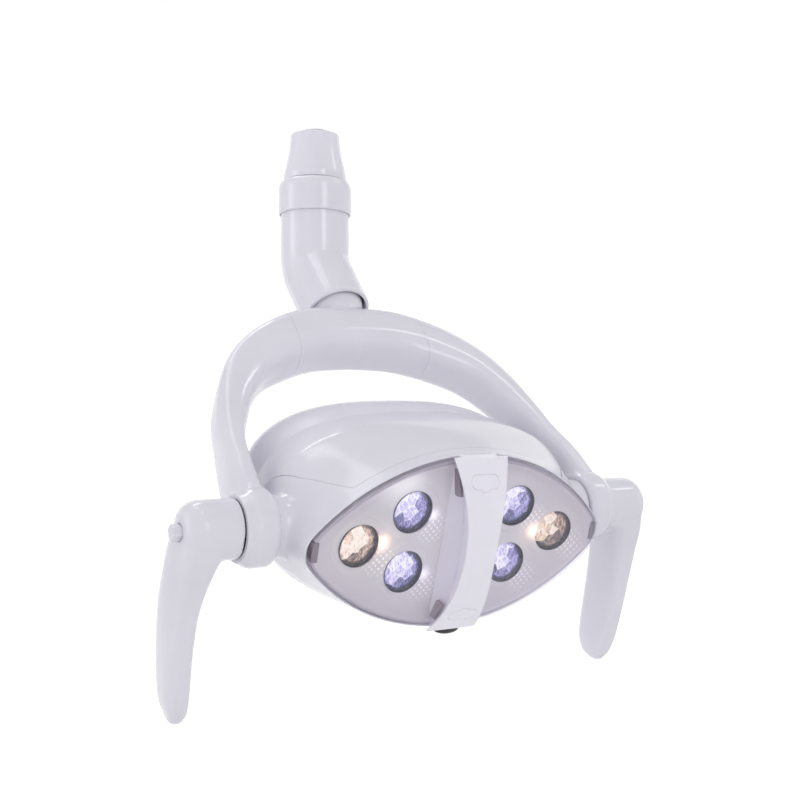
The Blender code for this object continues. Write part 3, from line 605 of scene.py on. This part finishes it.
def bow_rings(n, samples):
    """Sections across the bow, from the left boss over the top to the right one."""
    half = spline(BOW, samples)
    full = np.vstack([half[:0:-1] * [-1, 1, -1, 1, 1, 1, 1], half])
    rings = []
    for out_x, out_depth, in_x, in_depth, thick, back, lean in full:
        outer, inner = np.array([out_x, 0, -out_depth]), np.array([in_x, 0, -in_depth])
        mid, across = (outer + inner) / 2, (outer - inner) / 2
        half_w = np.linalg.norm(across)
        across = across / half_w
        ring = []
        for a, b in even_superellipse(half_w, thick / 2, 3.0, n):
            a -= lean * max(0, a / half_w) * (0.5 + b / thick)
            ring.append(tuple(mid + a * across + np.array([0, b + back, 0])))
        rings.append(ring)
    return rings


def cover_zone(name, grow):
    """Where the middle cover wraps the front and the underside of the bow."""
    across = even_superellipse(66 + grow, 60 + grow, 7, 120)
    return loft(name, [[(x, y, z - 130) for x, z in across] for y in (-60, 14 + grow)], YOKE)


def yoke():
    axis = YOKE @ shift(0, 0, -TILT_AXIS_AT)
    parts = [loft("bow_loft", bow_rings(96, 90), YOKE), lathe("neck", BOW_NECK, YOKE)]
    boss = rounded([(BOSS_R - 3.5, BOSS_IN), (BOSS_R, BOSS_IN + 4), (BOSS_R, 165.5), (26.0, BOSS_OUT - 0.8),
                    (25, BOSS_OUT + 4)], 2.0, closed=False)
    parts += [lathe("boss_" + word, boss, axis, along="x", side=side) for side, word in SIDES]
    bow = fuse("bow", parts, 1.5, 9.0)
    for side, word in SIDES:
        low, high = sorted((side * BOSS_OUT, side * 190))
        combine(bow, box("end", (low, -60, -60), (high, 60, 60), axis))
        combine(bow, rod(15.4, 140, 180, axis, along="x", side=side))
    combine(bow, rod(12.5, -93, -40, YOKE))
    combine(bow, rod(7, -116, -90, YOKE))
    cover = copy(bow, "bow_cover")
    gap, wall = 0.11, 3.0
    combine(cover, cover_zone("zone", -gap), "INTERSECT")
    room = cover_zone("zone_room", gap)
    combine(cover, rod(31.1, -72.3, -40, YOKE))
    combine(room, rod(31.0, -72.2, -38, YOKE))
    core = loft("bow_core", [inset_ring(r, wall) for r in bow_rings(48, 60)], YOKE)
    combine(cover, core, keep=True)
    combine(room, core)
    combine(bow, room)
    dress(bow, WHITE, "yoke", "gloss_white", "yoke_bow")
    dress(cover, WHITE, "yoke", "gloss_white", "yoke_cover")


def inset_ring(ring, depth):
    """The ring moved in towards its middle by a wall's thickness."""
    ring = np.array(ring)
    mid = ring.mean(0)
    reach = np.linalg.norm(ring - mid, axis=1, keepdims=True)
    return [tuple(p) for p in mid + (ring - mid) * (1 - depth / reach)]


# ---- head shells
def eye(w, h, corner, n):
    """The almond outline of the face: two long arcs with rounded corners, from the +x corner."""
    c = w - corner
    big = (c * c + h * h - corner * corner) / (2 * (h - corner))
    meet = atan2(big - h, c)
    end = np.linspace(0, meet, 60)
    arc = np.linspace(meet, pi / 2, 160)[1:]
    quarter = [(c + corner * cos(t), corner * sin(t)) for t in end]
    quarter += [(big * cos(t), h - big + big * sin(t)) for t in arc]
    half = quarter + [(-x, y) for x, y in quarter[-2::-1]]
    return resample(half + [(x, -y) for x, y in half[-2:0:-1]], n)


def oblong(w, h, n):
    """The head's outline further back, squarer above than below."""
    top, low = superellipse(w, h, 2.65, 800), superellipse(w, h, 2.05, 800)
    return resample(np.vstack([top[:400], low[400:]]), n)


def head_rings(n, inset=0.0, front=RIM_Z, stations=26):
    """Outlines from the face back to the closed rear: almond at the face, a rounded oblong behind."""
    rings = []
    for z in np.linspace(front, TURN_Z, 30):
        w = min(max((RIM_Z - z) / (RIM_Z - TURN_Z), 0.0), 1.0)
        swell = sin(w * pi)
        wide = FACE_W - 0.4 + 6.0 * swell - 1.6 * w - inset
        high = FACE_H - 0.4 + 5.0 * swell + 2.4 * w - inset
        blend = min(1.0, 1.6 * w) ** 1.3
        blend = blend * blend * (3 - 2 * blend) * 0.35 + blend * 0.65
        shape = (1 - blend) * eye(wide, high, CORNER_R - inset / 2, n) + blend * oblong(wide, high, n)
        rings.append([(x, y + FACE_Y - 3 * w, z) for x, y in shape])
    for a in np.radians(np.linspace(0, 87.5, stations)[1:]):
        s, c = sin(a) ** 0.5, cos(a) ** 0.5
        z = TURN_Z + (BACK_Z + inset - TURN_Z) * s
        shape = oblong((FACE_W - 2.0 - inset) * c, (FACE_H + 2.0 - inset) * c, n)
        rings.append([(x, y + FACE_Y - 3, z) for x, y in shape])
    return rings


def front_zone(name, grow):
    """The bezel behind the rim, widened at both ends to take in the necks."""
    edge = SEAM_Z - grow
    outline = [(-200, -grow), (-124 + grow, -grow), (-98 + grow, edge), (98 - grow, edge),
               (124 - grow, -grow), (200, -grow), (200, 70), (-200, 70)]
    zone = loft(name, [[(x, y, z) for x, z in outline] for y in (-150, 150)], HEAD)
    for side in (-1, 1):
        combine(zone, rod(38 + grow, 110 - grow, 170, HEAD, along="x", side=side), "UNION")
    return zone


def head_shells():
    """The rear shell and the front housing, one skin cut along the seam. Gives back the housing."""
    neck = [(41, 110), (40, 115), (37, 121), (31, 127), (26.8, 132.5), (24.6, 138), (23.9, 143),
            (23.6, 150)]
    neck = [tuple(p) for p in spline(neck, 40)]
    parts = [loft("body", head_rings(180, front=RIM_Z + 6), HEAD)]
    parts += [lathe("neck_" + word, neck, HEAD, along="x", side=side) for side, word in SIDES]
    shell = fuse("shell", parts, 1.9, 10.0, sharp=40)
    combine(shell, box("ahead", (-200, -100, RIM_Z), (200, 100, RIM_Z + 30), HEAD))
    combine(shell, box("end_left", (-200, -60, -60), (-146.4, 60, 60), HEAD))
    combine(shell, box("end_right", (146.4, -60, -60), (200, 60, 60), HEAD))
    combine(shell, loft("void", head_rings(96, inset=WALL, front=RIM_Z + 4, stations=14), HEAD))
    for side in (-1, 1):
        combine(shell, rod(SHAFT_R + 0.3, 120, 155, HEAD, along="x", side=side))
    front = copy(shell, "bezel")
    combine(front, front_zone("zone_front", -0.15), "INTERSECT")
    combine(shell, front_zone("zone_rear", 0.15))
    lip = loft("lip", [face_ring(1.0, z, inset=i) for i, z in (
        (0.3, 42.0), (0.2, 45.4), (0.5, 46.2), (1.1, 46.5), (1.7, 46.2), (1.95, 45.6), (1.95, 43.0),
        (4.1, 42.9), (4.1, 42.0))], HEAD, loop=True)
    combine(front, lip, "UNION")
    slot = even_superellipse(3.4, 16, 6, 40)
    for at in range(-40, 41, 20):
        combine(shell, loft("vent", [[(x + at, y, z - 78) for x, z in slot] for y in (-95, -55)], HEAD))
    dress(shell, WHITE, "head", "gloss_white", "rear_shell")
    dress(front, WHITE, "head", "gloss_white", "front_housing")
    return front


# ---- lamp face
COVER_INSET, PANEL_INSET = 2.1, 4.2    # the covers and the panels lie this far inside the rim
LENS_RIM = [(24.6, -0.8), (23.8, 0.05), (22.8, 0.5), (21.4, 0.85), (19.8, 1.0), (18.6, 0.85), (17.0, 0.3),
            (17.0, -0.8)]


def dome_z(share):
    """Height of the clear cover over the face, by the share of the way out to the rim."""
    return COVER_Z + DOME_H * (1 - min(share, 1.0) ** 2.4)


def face_ring(share, z, n=200, inset=0.0):
    shape = eye(FACE_W - inset, FACE_H - inset, CORNER_R, n) * share
    return [(x, y + FACE_Y, z) for x, y in shape]


def half_of(obj, name, side, gap):
    """The object's part on one side, from the gap beside the bridge outwards."""
    made = copy(obj, name)
    low, high = sorted((side * gap, side * 200))
    return combine(made, box("half", (low, -200, -200), (high, 200, 200), HEAD), "INTERSECT")


def clear_covers():
    shares = [s for s in 1 - np.linspace(0.0, 0.995, 44)[1:] ** 1.6 if s < 0.985]
    wall, foot = 2.0, RIM_Z + 0.6
    edge = [(1.0, foot), (1.0, 46.0), (1.0, COVER_Z - 1.6), (0.998, COVER_Z - 0.5),
            (0.99, dome_z(0.99) - 0.05)]
    outer = [face_ring(s, z, inset=COVER_INSET) for s, z in edge + [(s, dome_z(s)) for s in shares]]
    edge = [(1.0, COVER_Z - 1.5), (1.0, 46.0), (1.0, foot)]
    inner = [face_ring(s, z, inset=COVER_INSET + wall)
             for s, z in [(s, dome_z(s) - wall) for s in shares[::-1]] + edge]
    whole = loft("cover_whole", outer + inner, HEAD, loop=True, sharp=40)
    for side, word in SIDES:
        half = half_of(whole, "cover_" + word, side, PANEL_EDGE)
        dress(half, COVER, "head", "clear_cover", "clear_cover_" + word)
    bpy.data.objects.remove(whole)


def lens_frame(x, y):
    """A lens's place and lean: the six axes meet at the working distance."""
    aim = Matrix.Rotation(-atan2(x, LENS_FOCUS), 4, "Y") @ Matrix.Rotation(
        atan2(y - FACE_Y, LENS_FOCUS), 4, "X")
    return HEAD @ shift(x, y, PANEL_Z) @ aim


def panels():
    stations = [(1.0, 38.0), (1.0, 48.2), (0.985, 48.5), (0.965, 48.3), (0.945, 47.8), (0.925, 46.9),
                (0.9, 45.8), (0.87, 45.0), (0.84, PANEL_Z), (0.5, PANEL_Z), (0.02, PANEL_Z),
                (0.02, PANEL_Z - 2.2), (0.83, PANEL_Z - 2.2), (0.93, 44.6), (0.965, 45.8), (0.965, 38.0)]
    plate = loft("plate", [face_ring(s, z, inset=PANEL_INSET) for s, z in stations], HEAD, loop=True)
    for side, word in SIDES:
        panel = half_of(plate, "face_panel_" + word, side, PANEL_EDGE)
        for x, y in LENSES:
            if x * side > 0:
                combine(panel, lathe("rim", LENS_RIM, HEAD @ shift(x, y, PANEL_Z), 96), "UNION")
                combine(panel, rod(17.6, -8, 8, lens_frame(x, y), 96))
        slot = sorted((side * 127.7, side * 136))
        combine(panel, box("latch_room", (slot[0], -9, 30), (slot[1], 7, 60), HEAD))
        mark_face(panel)
        dress(panel, PANEL, "head", "panel_grey", "panel_" + word)
    bpy.data.objects.remove(plate)


def facet_disc(name, radius, placing, seed):
    """A low dome cut flat by planes on a tall honeycomb. Its facets carry painted light and shade: bright at
    the upper left, muted at the right and dark below."""
    rng = np.random.default_rng(seed)
    cells = bmesh.new()
    bmesh.ops.create_cone(cells, cap_ends=True, segments=96, radius1=radius, radius2=radius, depth=8.0,
                          matrix=Matrix.Translation((0, 0, -4.0)))
    crown = 2.0
    sites = []
    for i in range(-3, 4):
        for j in range(-3, 4):
            site = np.array([7.4 * i - 1.5, 10.4 * (j + 0.5 * (i % 2))]) + rng.normal(0, 0.8, 2)
            if np.hypot(*site) < radius * 1.15:
                sites.append(site)
    for site in sites:
        slope = -2 * crown / radius**2 * site + rng.normal(0, 0.02, 2)
        height = -crown * (site @ site) / radius**2
        normal = Vector((-slope[0], -slope[1], 1)).normalized()
        bmesh.ops.bisect_plane(cells, geom=cells.verts[:] + cells.edges[:] + cells.faces[:],
                               plane_co=(site[0], site[1], height), plane_no=normal, clear_outer=True)
        edges = [e for e in cells.edges if e.is_boundary]
        if edges:
            bmesh.ops.contextual_create(cells, geom=edges)
    cells.normal_update()
    painted_light_at = cells.faces.layers.float.new("facet")
    edge_at = cells.verts.layers.float.new("to_edge")
    local_at = cells.verts.layers.float_vector.new("local")
    tops = [f for f in cells.faces if f.normal.z > 0.5]
    # Painted light and shade: the facets' sides dark, the tops bright at the upper left, muted at the right
    # and dark below
    for face in cells.faces:
        face[painted_light_at] = 0.1
    for face in tops:
        u, v = (face.calc_center_median() / radius).xy
        if v < -0.42:
            level = 0.26
        elif u > 0.3:
            level = 0.46
        else:
            level = 0.8 + 0.1 * v
        face[painted_light_at] = min(max(level + rng.normal(0, 0.07), 0.08), 0.97)
    for face in tops:
        middle = face.calc_center_median()
        inside = min(((e.verts[0].co + e.verts[1].co) / 2 - middle).length for e in face.edges)
        made = bmesh.ops.poke(cells, faces=[face])["verts"][0]
        made[edge_at] = inside
    for vertex in cells.verts:
        vertex[local_at] = vertex.co / radius
    mesh = bpy.data.meshes.new(name)
    cells.to_mesh(mesh)
    cells.free()
    mesh.transform(placing @ Matrix.Diagonal((MM, MM, MM, 1)))
    made = bpy.data.objects.new(name, mesh)
    bpy.context.scene.collection.objects.link(made)
    return made


def lenses():
    for i, (x, y) in enumerate(LENSES):
        at, number = lens_frame(x, y), str(i + 1)
        warm = abs(x) > WARM_FROM
        look, slot = (WARM_LENS, "warm_lens") if warm else (COOL_LENS, "cool_lens")
        optic = facet_disc("optic_" + number, 15.9, at @ shift(0, 0, -1.4), seed=11 + i)
        dress(optic, look, "head", slot, "lens_" + number)
        flange = rounded([(15.95, -6.5), (15.95, -2.6), (16.3, -2.2), (16.8, -2.3), (16.9, -3.0),
                          (16.9, -7.0), (13.5, -10.5), (6.2, -21), (4.6, -21), (9, -12)], 0.3)
        flange = lathe("flange_" + number, flange, at, 96, ring=True)
        dress(flange, COVER_EDGE, "head", slot)
        holder = rounded([(17.55, 0.35), (17.2, 0.4), (16.95, -0.2), (16.95, -7.5), (17.55, -7.5)], 0.25)
        holder = lathe("holder_" + number, holder, at, 96, ring=True)
        dress(holder, HOLDER, "head", "black_plastic")


# ---- bridge over the middle of the face
def bridge_width(y):
    """Narrow at the middle of the face, wider at both ends."""
    up = (y - FACE_Y) / FACE_H
    return 14.3 + (10.7 if up > 0 else 8.7) * abs(up) ** 1.9


def bridge_top(y):
    return dome_z(abs(y - FACE_Y) / FACE_H) + 2.6


def bridge_section(y):
    w, z = bridge_width(y), bridge_top(y)
    low = min(w - 1.2, 16.0)
    half = [(0, z + 0.5), (w * 0.6, z + 0.3), (w - 0.4, z - 0.1), (w, z - 1.2), (w, z - 2.2),
            (low, z - 2.4), (17.6, PANEL_Z - 1.5)]
    full = half + [(-x, v) for x, v in half[:0:-1]]
    return [(x, y, v) for x, v in rounded(full, 1.2)]


def obround(name, y, grow, low, high):
    """A flat-sided round-ended prism with a small pry tab towards the middle of the face."""
    r, half = 5.0 + grow, 7.6
    arc = np.linspace(-90, 90, 33)
    right = [(half + r * cos(radians(a)), r * sin(radians(a))) for a in arc]
    left = [(-px, -py) for px, py in right]
    made = loft(name, [[(px, py + y, z) for px, py in right + left] for z in (low, high)], HEAD)
    toward = -1 if y > FACE_Y else 1
    start, end = sorted((y + toward * 3, y + toward * (6.8 + grow)))
    return combine(made, box("tab", (-3.2 - grow, start, low), (3.2 + grow, end, high), HEAD), "UNION")


def bridge():
    stations = FACE_Y + FACE_H * np.sin(np.linspace(-pi / 2, pi / 2, 70)) * 0.985
    band = loft("bridge_band", [bridge_section(y) for y in stations], HEAD)
    hollow, low = [], PANEL_Z - 5
    for y in np.linspace(-60, 60, 24):
        top = dome_z(abs(y) / 62) - 1.5
        hollow.append([(x, y + FACE_Y, z) for x, z in ((-12, low), (12, low), (11, top), (-11, top))])
    combine(band, loft("bridge_hollow", hollow, HEAD))
    for y, word in ((54.5, "upper"), (-57.5, "lower")):
        level = bridge_top(y)
        cap = copy(band, "cap_" + word)
        combine(cap, obround("cap_zone", y, 0.0, level - 3.6, level + 9), "INTERSECT")
        combine(band, obround("cap_room", y, 0.35, level - 4.4, level + 9))
        mark_face(cap)
        dress(cap, WHITE_FACE, "head", "gloss_white", "snap_cap_" + word)
    combine(band, rod(12.3, -12, 12, SENSOR, 96))
    mark_face(band)
    dress(band, WHITE_FACE, "head", "gloss_white", "bridge")


SENSOR = HEAD @ shift(0, FACE_Y - FACE_H + 1.6, 46.5) @ turn(90, "X") @ Matrix.Diagonal((1, 0.5, 1, 1))


def sensor(front):
    """The dark window under the bridge's lower end, and its room in the front housing."""
    profile = rounded([(0.01, -3), (12, -3), (12, 3.6), (11.2, 5.4), (8, 7.0), (4, 7.8), (0.01, 8.0)],
                      0.6, closed=False)
    dress(lathe("sensor_lens", profile, SENSOR, 96), BLACK, "head", "black_plastic", "sensor_window")
    combine(front, rod(12.3, -12, 12, SENSOR, 96))


def latches_and_clips():
    for side, word in SIDES:
        low, high = sorted((side * 128.0, side * 132.6))
        latch = box("latch_" + word, (low, -8.6, 40), (high, 6.6, 49.9), HEAD)
        hook = sorted((side * 129.6, side * 139))
        combine(latch, box("hook_room", (hook[0], -7, 43.5), (hook[1], 3, 47.5), HEAD))
        dress(latch, SMOKE if side < 0 else COVER_EDGE, "head", "black_plastic", "cover_latch_" + word)
        for y, end in ((52.0, "upper"), (-56.0, "lower")):
            lean = 1 if y > 0 else -1
            rings = []
            for reach, wide in ((-9, 4.2), (-3, 4.0), (3, 3.0), (8.5, 1.2)):
                v = y + lean * reach
                top = bridge_top(v) - 5.2
                x0, x1, x2 = side * 17.95, side * (18.3 + wide * 0.6), side * (18.0 + wide)
                outline = [(x0, top - 8), (x1, top - 8), (x2, top - 5.5), (x2, top - 1.2), (x1, top),
                           (x0, top)]
                rings.append([(x, v, z) for x, z in rounded(outline, 0.4)])
            clip = loft("clip_%s_%s" % (end, word), rings, HEAD)
            dress(clip, SMOKE, "head", "steel", "cover_clip_%s_%s" % (end, word))
    band = loft("cover_seat", [face_ring(1.0, z, inset=i) for i, z in (
        (4.3, 48.8), (4.3, 49.6), (4.6, 49.9), (5.4, 49.8), (5.8, 49.5), (5.8, 48.9))], HEAD, loop=True)
    for side, word in SIDES:
        seat = half_of(band, "cover_seat_" + word, side, PANEL_EDGE + 0.5)
        dress(seat, COVER_EDGE, "head", "clear_cover")
    bpy.data.objects.remove(band)


# ---- handles and release buttons
# From the hub's axis to the tip: drop, sideways, forwards, half width, half depth
BLADE = [(4, 197, 0, 19, 22), (-18, 203, -2, 16.5, 23.4), (-40, 207, -4, 13.2, 23.2),
         (-62, 209.5, -5, 11.4, 22.8), (-86, 210, -4, 10.4, 22.2), (-108, 209.5, -2.5, 9.8, 21.4),
         (-128, 208.5, -1, 9.2, 20.2), (-143, 207.5, 0, 8.2, 17.2), (-151, 207, 1, 6.2, 12.4)]
# Button springs: turns, radius of coil and wire, inner end, length, and the share left when pressed
COILS, COIL_R, WIRE_R, SPRING_AT, SPRING_LONG, SPRING_KEPT = 4, 6.6, 0.55, 194.1, 9.1, 0.68


def handles():
    rings = []
    for y, x, z, a, b in spline(BLADE, 60):
        rings.append([(x + p, y, z + q) for p, q in even_superellipse(a, b, 3.5, 96)])
    y, x, z, a, b = BLADE[-1]
    for angle in np.radians((25, 45, 60, 72, 82)):
        c, s = cos(angle), sin(angle)
        rings.append([(x + p, y - 5 * s, z + q) for p, q in even_superellipse(a * c, b * c, 3.0, 96)])
    hub = rounded([(0.01, HUB_IN), (HUB_R - 0.2, HUB_IN), (HUB_R, HUB_IN + 0.3), (HUB_R, 204),
                   (HUB_R - 1.2, 209), (HUB_R - 4.2, 213.6), (HUB_R - 8.4, 216.2), (HUB_R - 13, HUB_OUT),
                   (0.01, HUB_OUT)], 2.5, closed=False)
    parts = [loft("blade", rings, HEAD), lathe("hub", hub, HEAD, along="x")]
    grip = fuse("grip_right", parts, 1.1, 9.0, 50, sharp=40)
    combine(grip, box("face", (160, -60, -60), (HUB_IN, 60, 60), HEAD))
    combine(grip, lathe("shaft_room", [
        (SHAFT_R + 0.4, 165), (SHAFT_R + 0.4, 201.5), (9.2, 201.5), (9.2, 209), (7.2, 209), (7.2, 235)],
        HEAD, along="x"))
    dress(mirrored(grip, "grip_left"), WHITE, "head", "gloss_white", "handle_left")
    dress(grip, WHITE, "head", "gloss_white", "handle_right")


def buttons():
    """Soft-edged six-sided buttons with a collar inside the hub."""
    turns = np.linspace(0, 2 * pi, 72, endpoint=False)
    sector = pi / 3
    outline = []
    for t in turns:
        r = min(BUTTON_R + 0.1, 5.7 / cos((t + sector / 2) % sector - sector / 2))
        outline.append((r * cos(t), r * sin(t)))
    profile = rounded([(0.57, 202.2), (0.57, 204.2), (1.38, 204.2), (1.38, 206.6), (1.0, 206.6),
                       (1.0, BUTTON_END - 0.2), (0.86, BUTTON_END), (0.02, BUTTON_END)], 0.5, closed=False)
    rings = [[(x, y * scale, z * scale) for y, z in outline] for scale, x in profile]
    button = loft("press_right", rings, HEAD)
    dress(mirrored(button, "press_left"), WHITE, "button_left", "gloss_white", "button_left")
    dress(button, WHITE, "button_right", "gloss_white", "button_right")


def pivots():
    """The springs behind the buttons, the friction rings and the shafts."""
    turns = np.linspace(0, 2 * pi, 12, endpoint=False)
    wire = [(WIRE_R * cos(a), WIRE_R * sin(a)) for a in turns]
    seal = rounded([(12.4, 173.7), (22.3, 173.7), (22.3, 174.7), (12.4, 174.7)], 0.2)
    shaft = rounded([(8.6, 118), (20, 118), (20, 122), (SHAFT_R, 122), (SHAFT_R, 193), (8.6, 193)], 0.6)
    for side, word in SIDES:
        rings = []
        for share in np.linspace(0, 1, 193):
            t = 2 * pi * COILS * share
            along = SPRING_AT + SPRING_LONG * share
            rings.append([(side * (along + up), (COIL_R + out) * cos(t), (COIL_R + out) * sin(t))
                          for out, up in wire])
        spring = loft("spring_" + word, rings, HEAD)
        dress(spring, STEEL, "head", "steel", "button_spring_" + word)
        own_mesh(spring)
        ring = lathe("seal_" + word, seal, HEAD, ring=True, along="x", side=side)
        dress(ring, RUBBER, "head", "black_plastic", "friction_ring_" + word)
        axle = lathe("shaft_" + word, shaft, HEAD, ring=True, along="x", side=side)
        dress(axle, STEEL, "head", "steel", "pivot_shaft_" + word)


# ---- room, light and camera
# In metres. Pools of light on the sweep: centre, reach and strength, with heights halved
POOLS = [((-3.35, 1.15, 0.12), 1.15, 2.6), ((-1.3, -2.4, -0.4), 2.6, 0.24), ((0.1, -3.5, 0.42), 0.75, 4.0)]
BRIGHT_SIDE = (2.0, 2.95, -0.05)
LAMP_MIDDLE = (0, -0.16, -0.3)
# Azimuth from -Y towards +X and elevation as seen from the lamp, distance, size and power
SOFTBOXES = {"window_box": (-23, 71, 1.7, (0.13, 0.13), 1.0), "right_strip": (66, 50, 1.7, (0.08, 0.7), 1.6),
             "back_box": (-170, 58, 1.7, (0.9, 0.16), 3.0), "top_box": (-110, 70, 1.6, (0.5, 0.5), 1.6)}
CAMERA_AT, CAMERA_TURNS, CAMERA_LENS = (-0.543576, -0.996648, -0.331787), (32.789, 3.444, -0.219), 52.53


def sweep():
    """A floor well below the lamp that curves up into a backdrop on all sides, brightest behind it."""
    n = Nodes("studio_sweep_paint")
    paint = n.ramp(n.noise(1.2, 3.0), (0.3, (0.78, 0.78, 0.785)), (0.7, (0.8, 0.8, 0.805)))
    n.give("Base Color", paint)
    n.give("Roughness", 0.9)
    total = n.remap(n.distance(n.where(), BRIGHT_SIDE), 2.5, 3.6, 0.42, 0.1, "SMOOTHSTEP")
    squat = n.add("Mapping", {"Vector": n.where(), "Scale": (1, 1, 0.5)}).outputs["Vector"]
    for centre, reach, strength in POOLS:
        pool = n.remap(n.distance(squat, centre), 0.0, reach, strength, 0.0, "SMOOTHSTEP")
        total = n.math("ADD", total, pool)
    n.give("Emission Color", (1, 1, 1, 1))
    n.give("Emission Strength", total)
    low, flat, bend, around = -1050, 2200, 1400, 96
    profile = [(10, low), (1000, low), (flat, low)]
    for a in np.linspace(0.15, pi / 2, 14):
        profile.append((flat + bend * sin(a), low + bend * (1 - cos(a))))
    profile += [(flat + bend, 1600), (flat + bend, 2800)]
    turns = np.linspace(0, 2 * pi, around, endpoint=False)
    points = [(r * cos(t), r * sin(t), z) for r, z in profile for t in turns]
    faces = []
    for i in range(0, len(points) - around, around):
        faces += [(i + j, i + k, i + around + k, i + around + j)
                  for j, k in ((j, (j + 1) % around) for j in range(around))]
    floor = build("studio_sweep", points, faces, Matrix.Identity(4), 60)
    floor.data.materials.append(n.material)


def sky():
    world = bpy.data.worlds.new("studio_sky")
    bpy.context.scene.world = world
    world.use_nodes = True
    background = world.node_tree.nodes["Background"]
    background.inputs["Color"].default_value = (0.97, 0.97, 1.0, 1)
    background.inputs["Strength"].default_value = 0.5


def softbox(name, azimuth, elevation, distance, size, power):
    """An area light aimed at the lamp."""
    light = bpy.data.lights.new(name, "AREA")
    light.shape, light.size, light.size_y, light.energy = "RECTANGLE", size[0], size[1], power
    made = bpy.data.objects.new(name, light)
    bpy.context.scene.collection.objects.link(made)
    a, e = radians(azimuth), radians(elevation)
    toward = Vector((sin(a) * cos(e), -cos(a) * cos(e), sin(e)))
    made.location = Vector(LAMP_MIDDLE) + toward * distance
    made.rotation_euler = toward.to_track_quat("Z", "Y").to_euler()


def camera():
    yaw, pitch, roll = (radians(v) for v in CAMERA_TURNS)
    forward = Vector((sin(yaw) * cos(pitch), cos(yaw) * cos(pitch), sin(pitch)))
    right = Vector((cos(yaw), -sin(yaw), 0))
    up = right.cross(forward)
    across = cos(roll) * right + sin(roll) * up
    upward = cos(roll) * up - sin(roll) * right
    lens = bpy.data.cameras.new("camera")
    lens.sensor_width, lens.lens = 36.0, CAMERA_LENS
    made = bpy.data.objects.new("camera", lens)
    bpy.context.scene.collection.objects.link(made)
    facing = Matrix((across, upward, -forward)).transposed().to_4x4()
    made.matrix_world = Matrix.Translation(CAMERA_AT) @ facing
    bpy.context.scene.camera = made


slots = {entry["node"]: entry["material_slot"] for entry in frame["record"]["subparts"]}
for node, obj in frame["nodes"].items():
    obj.data.materials.clear()
    obj.data.materials.append(CAD_LOOKS[slots[node]])

camera()
sky()
sweep()
for box_name, values in SOFTBOXES.items():
    softbox(box_name, *values)
arm_end()
elbow()
yoke()
bezel = head_shells()
sensor(bezel)
clear_covers()
panels()
lenses()
bridge()
latches_and_clips()
handles()
buttons()
pivots()
bpy.context.scene.view_settings.view_transform = "Standard"
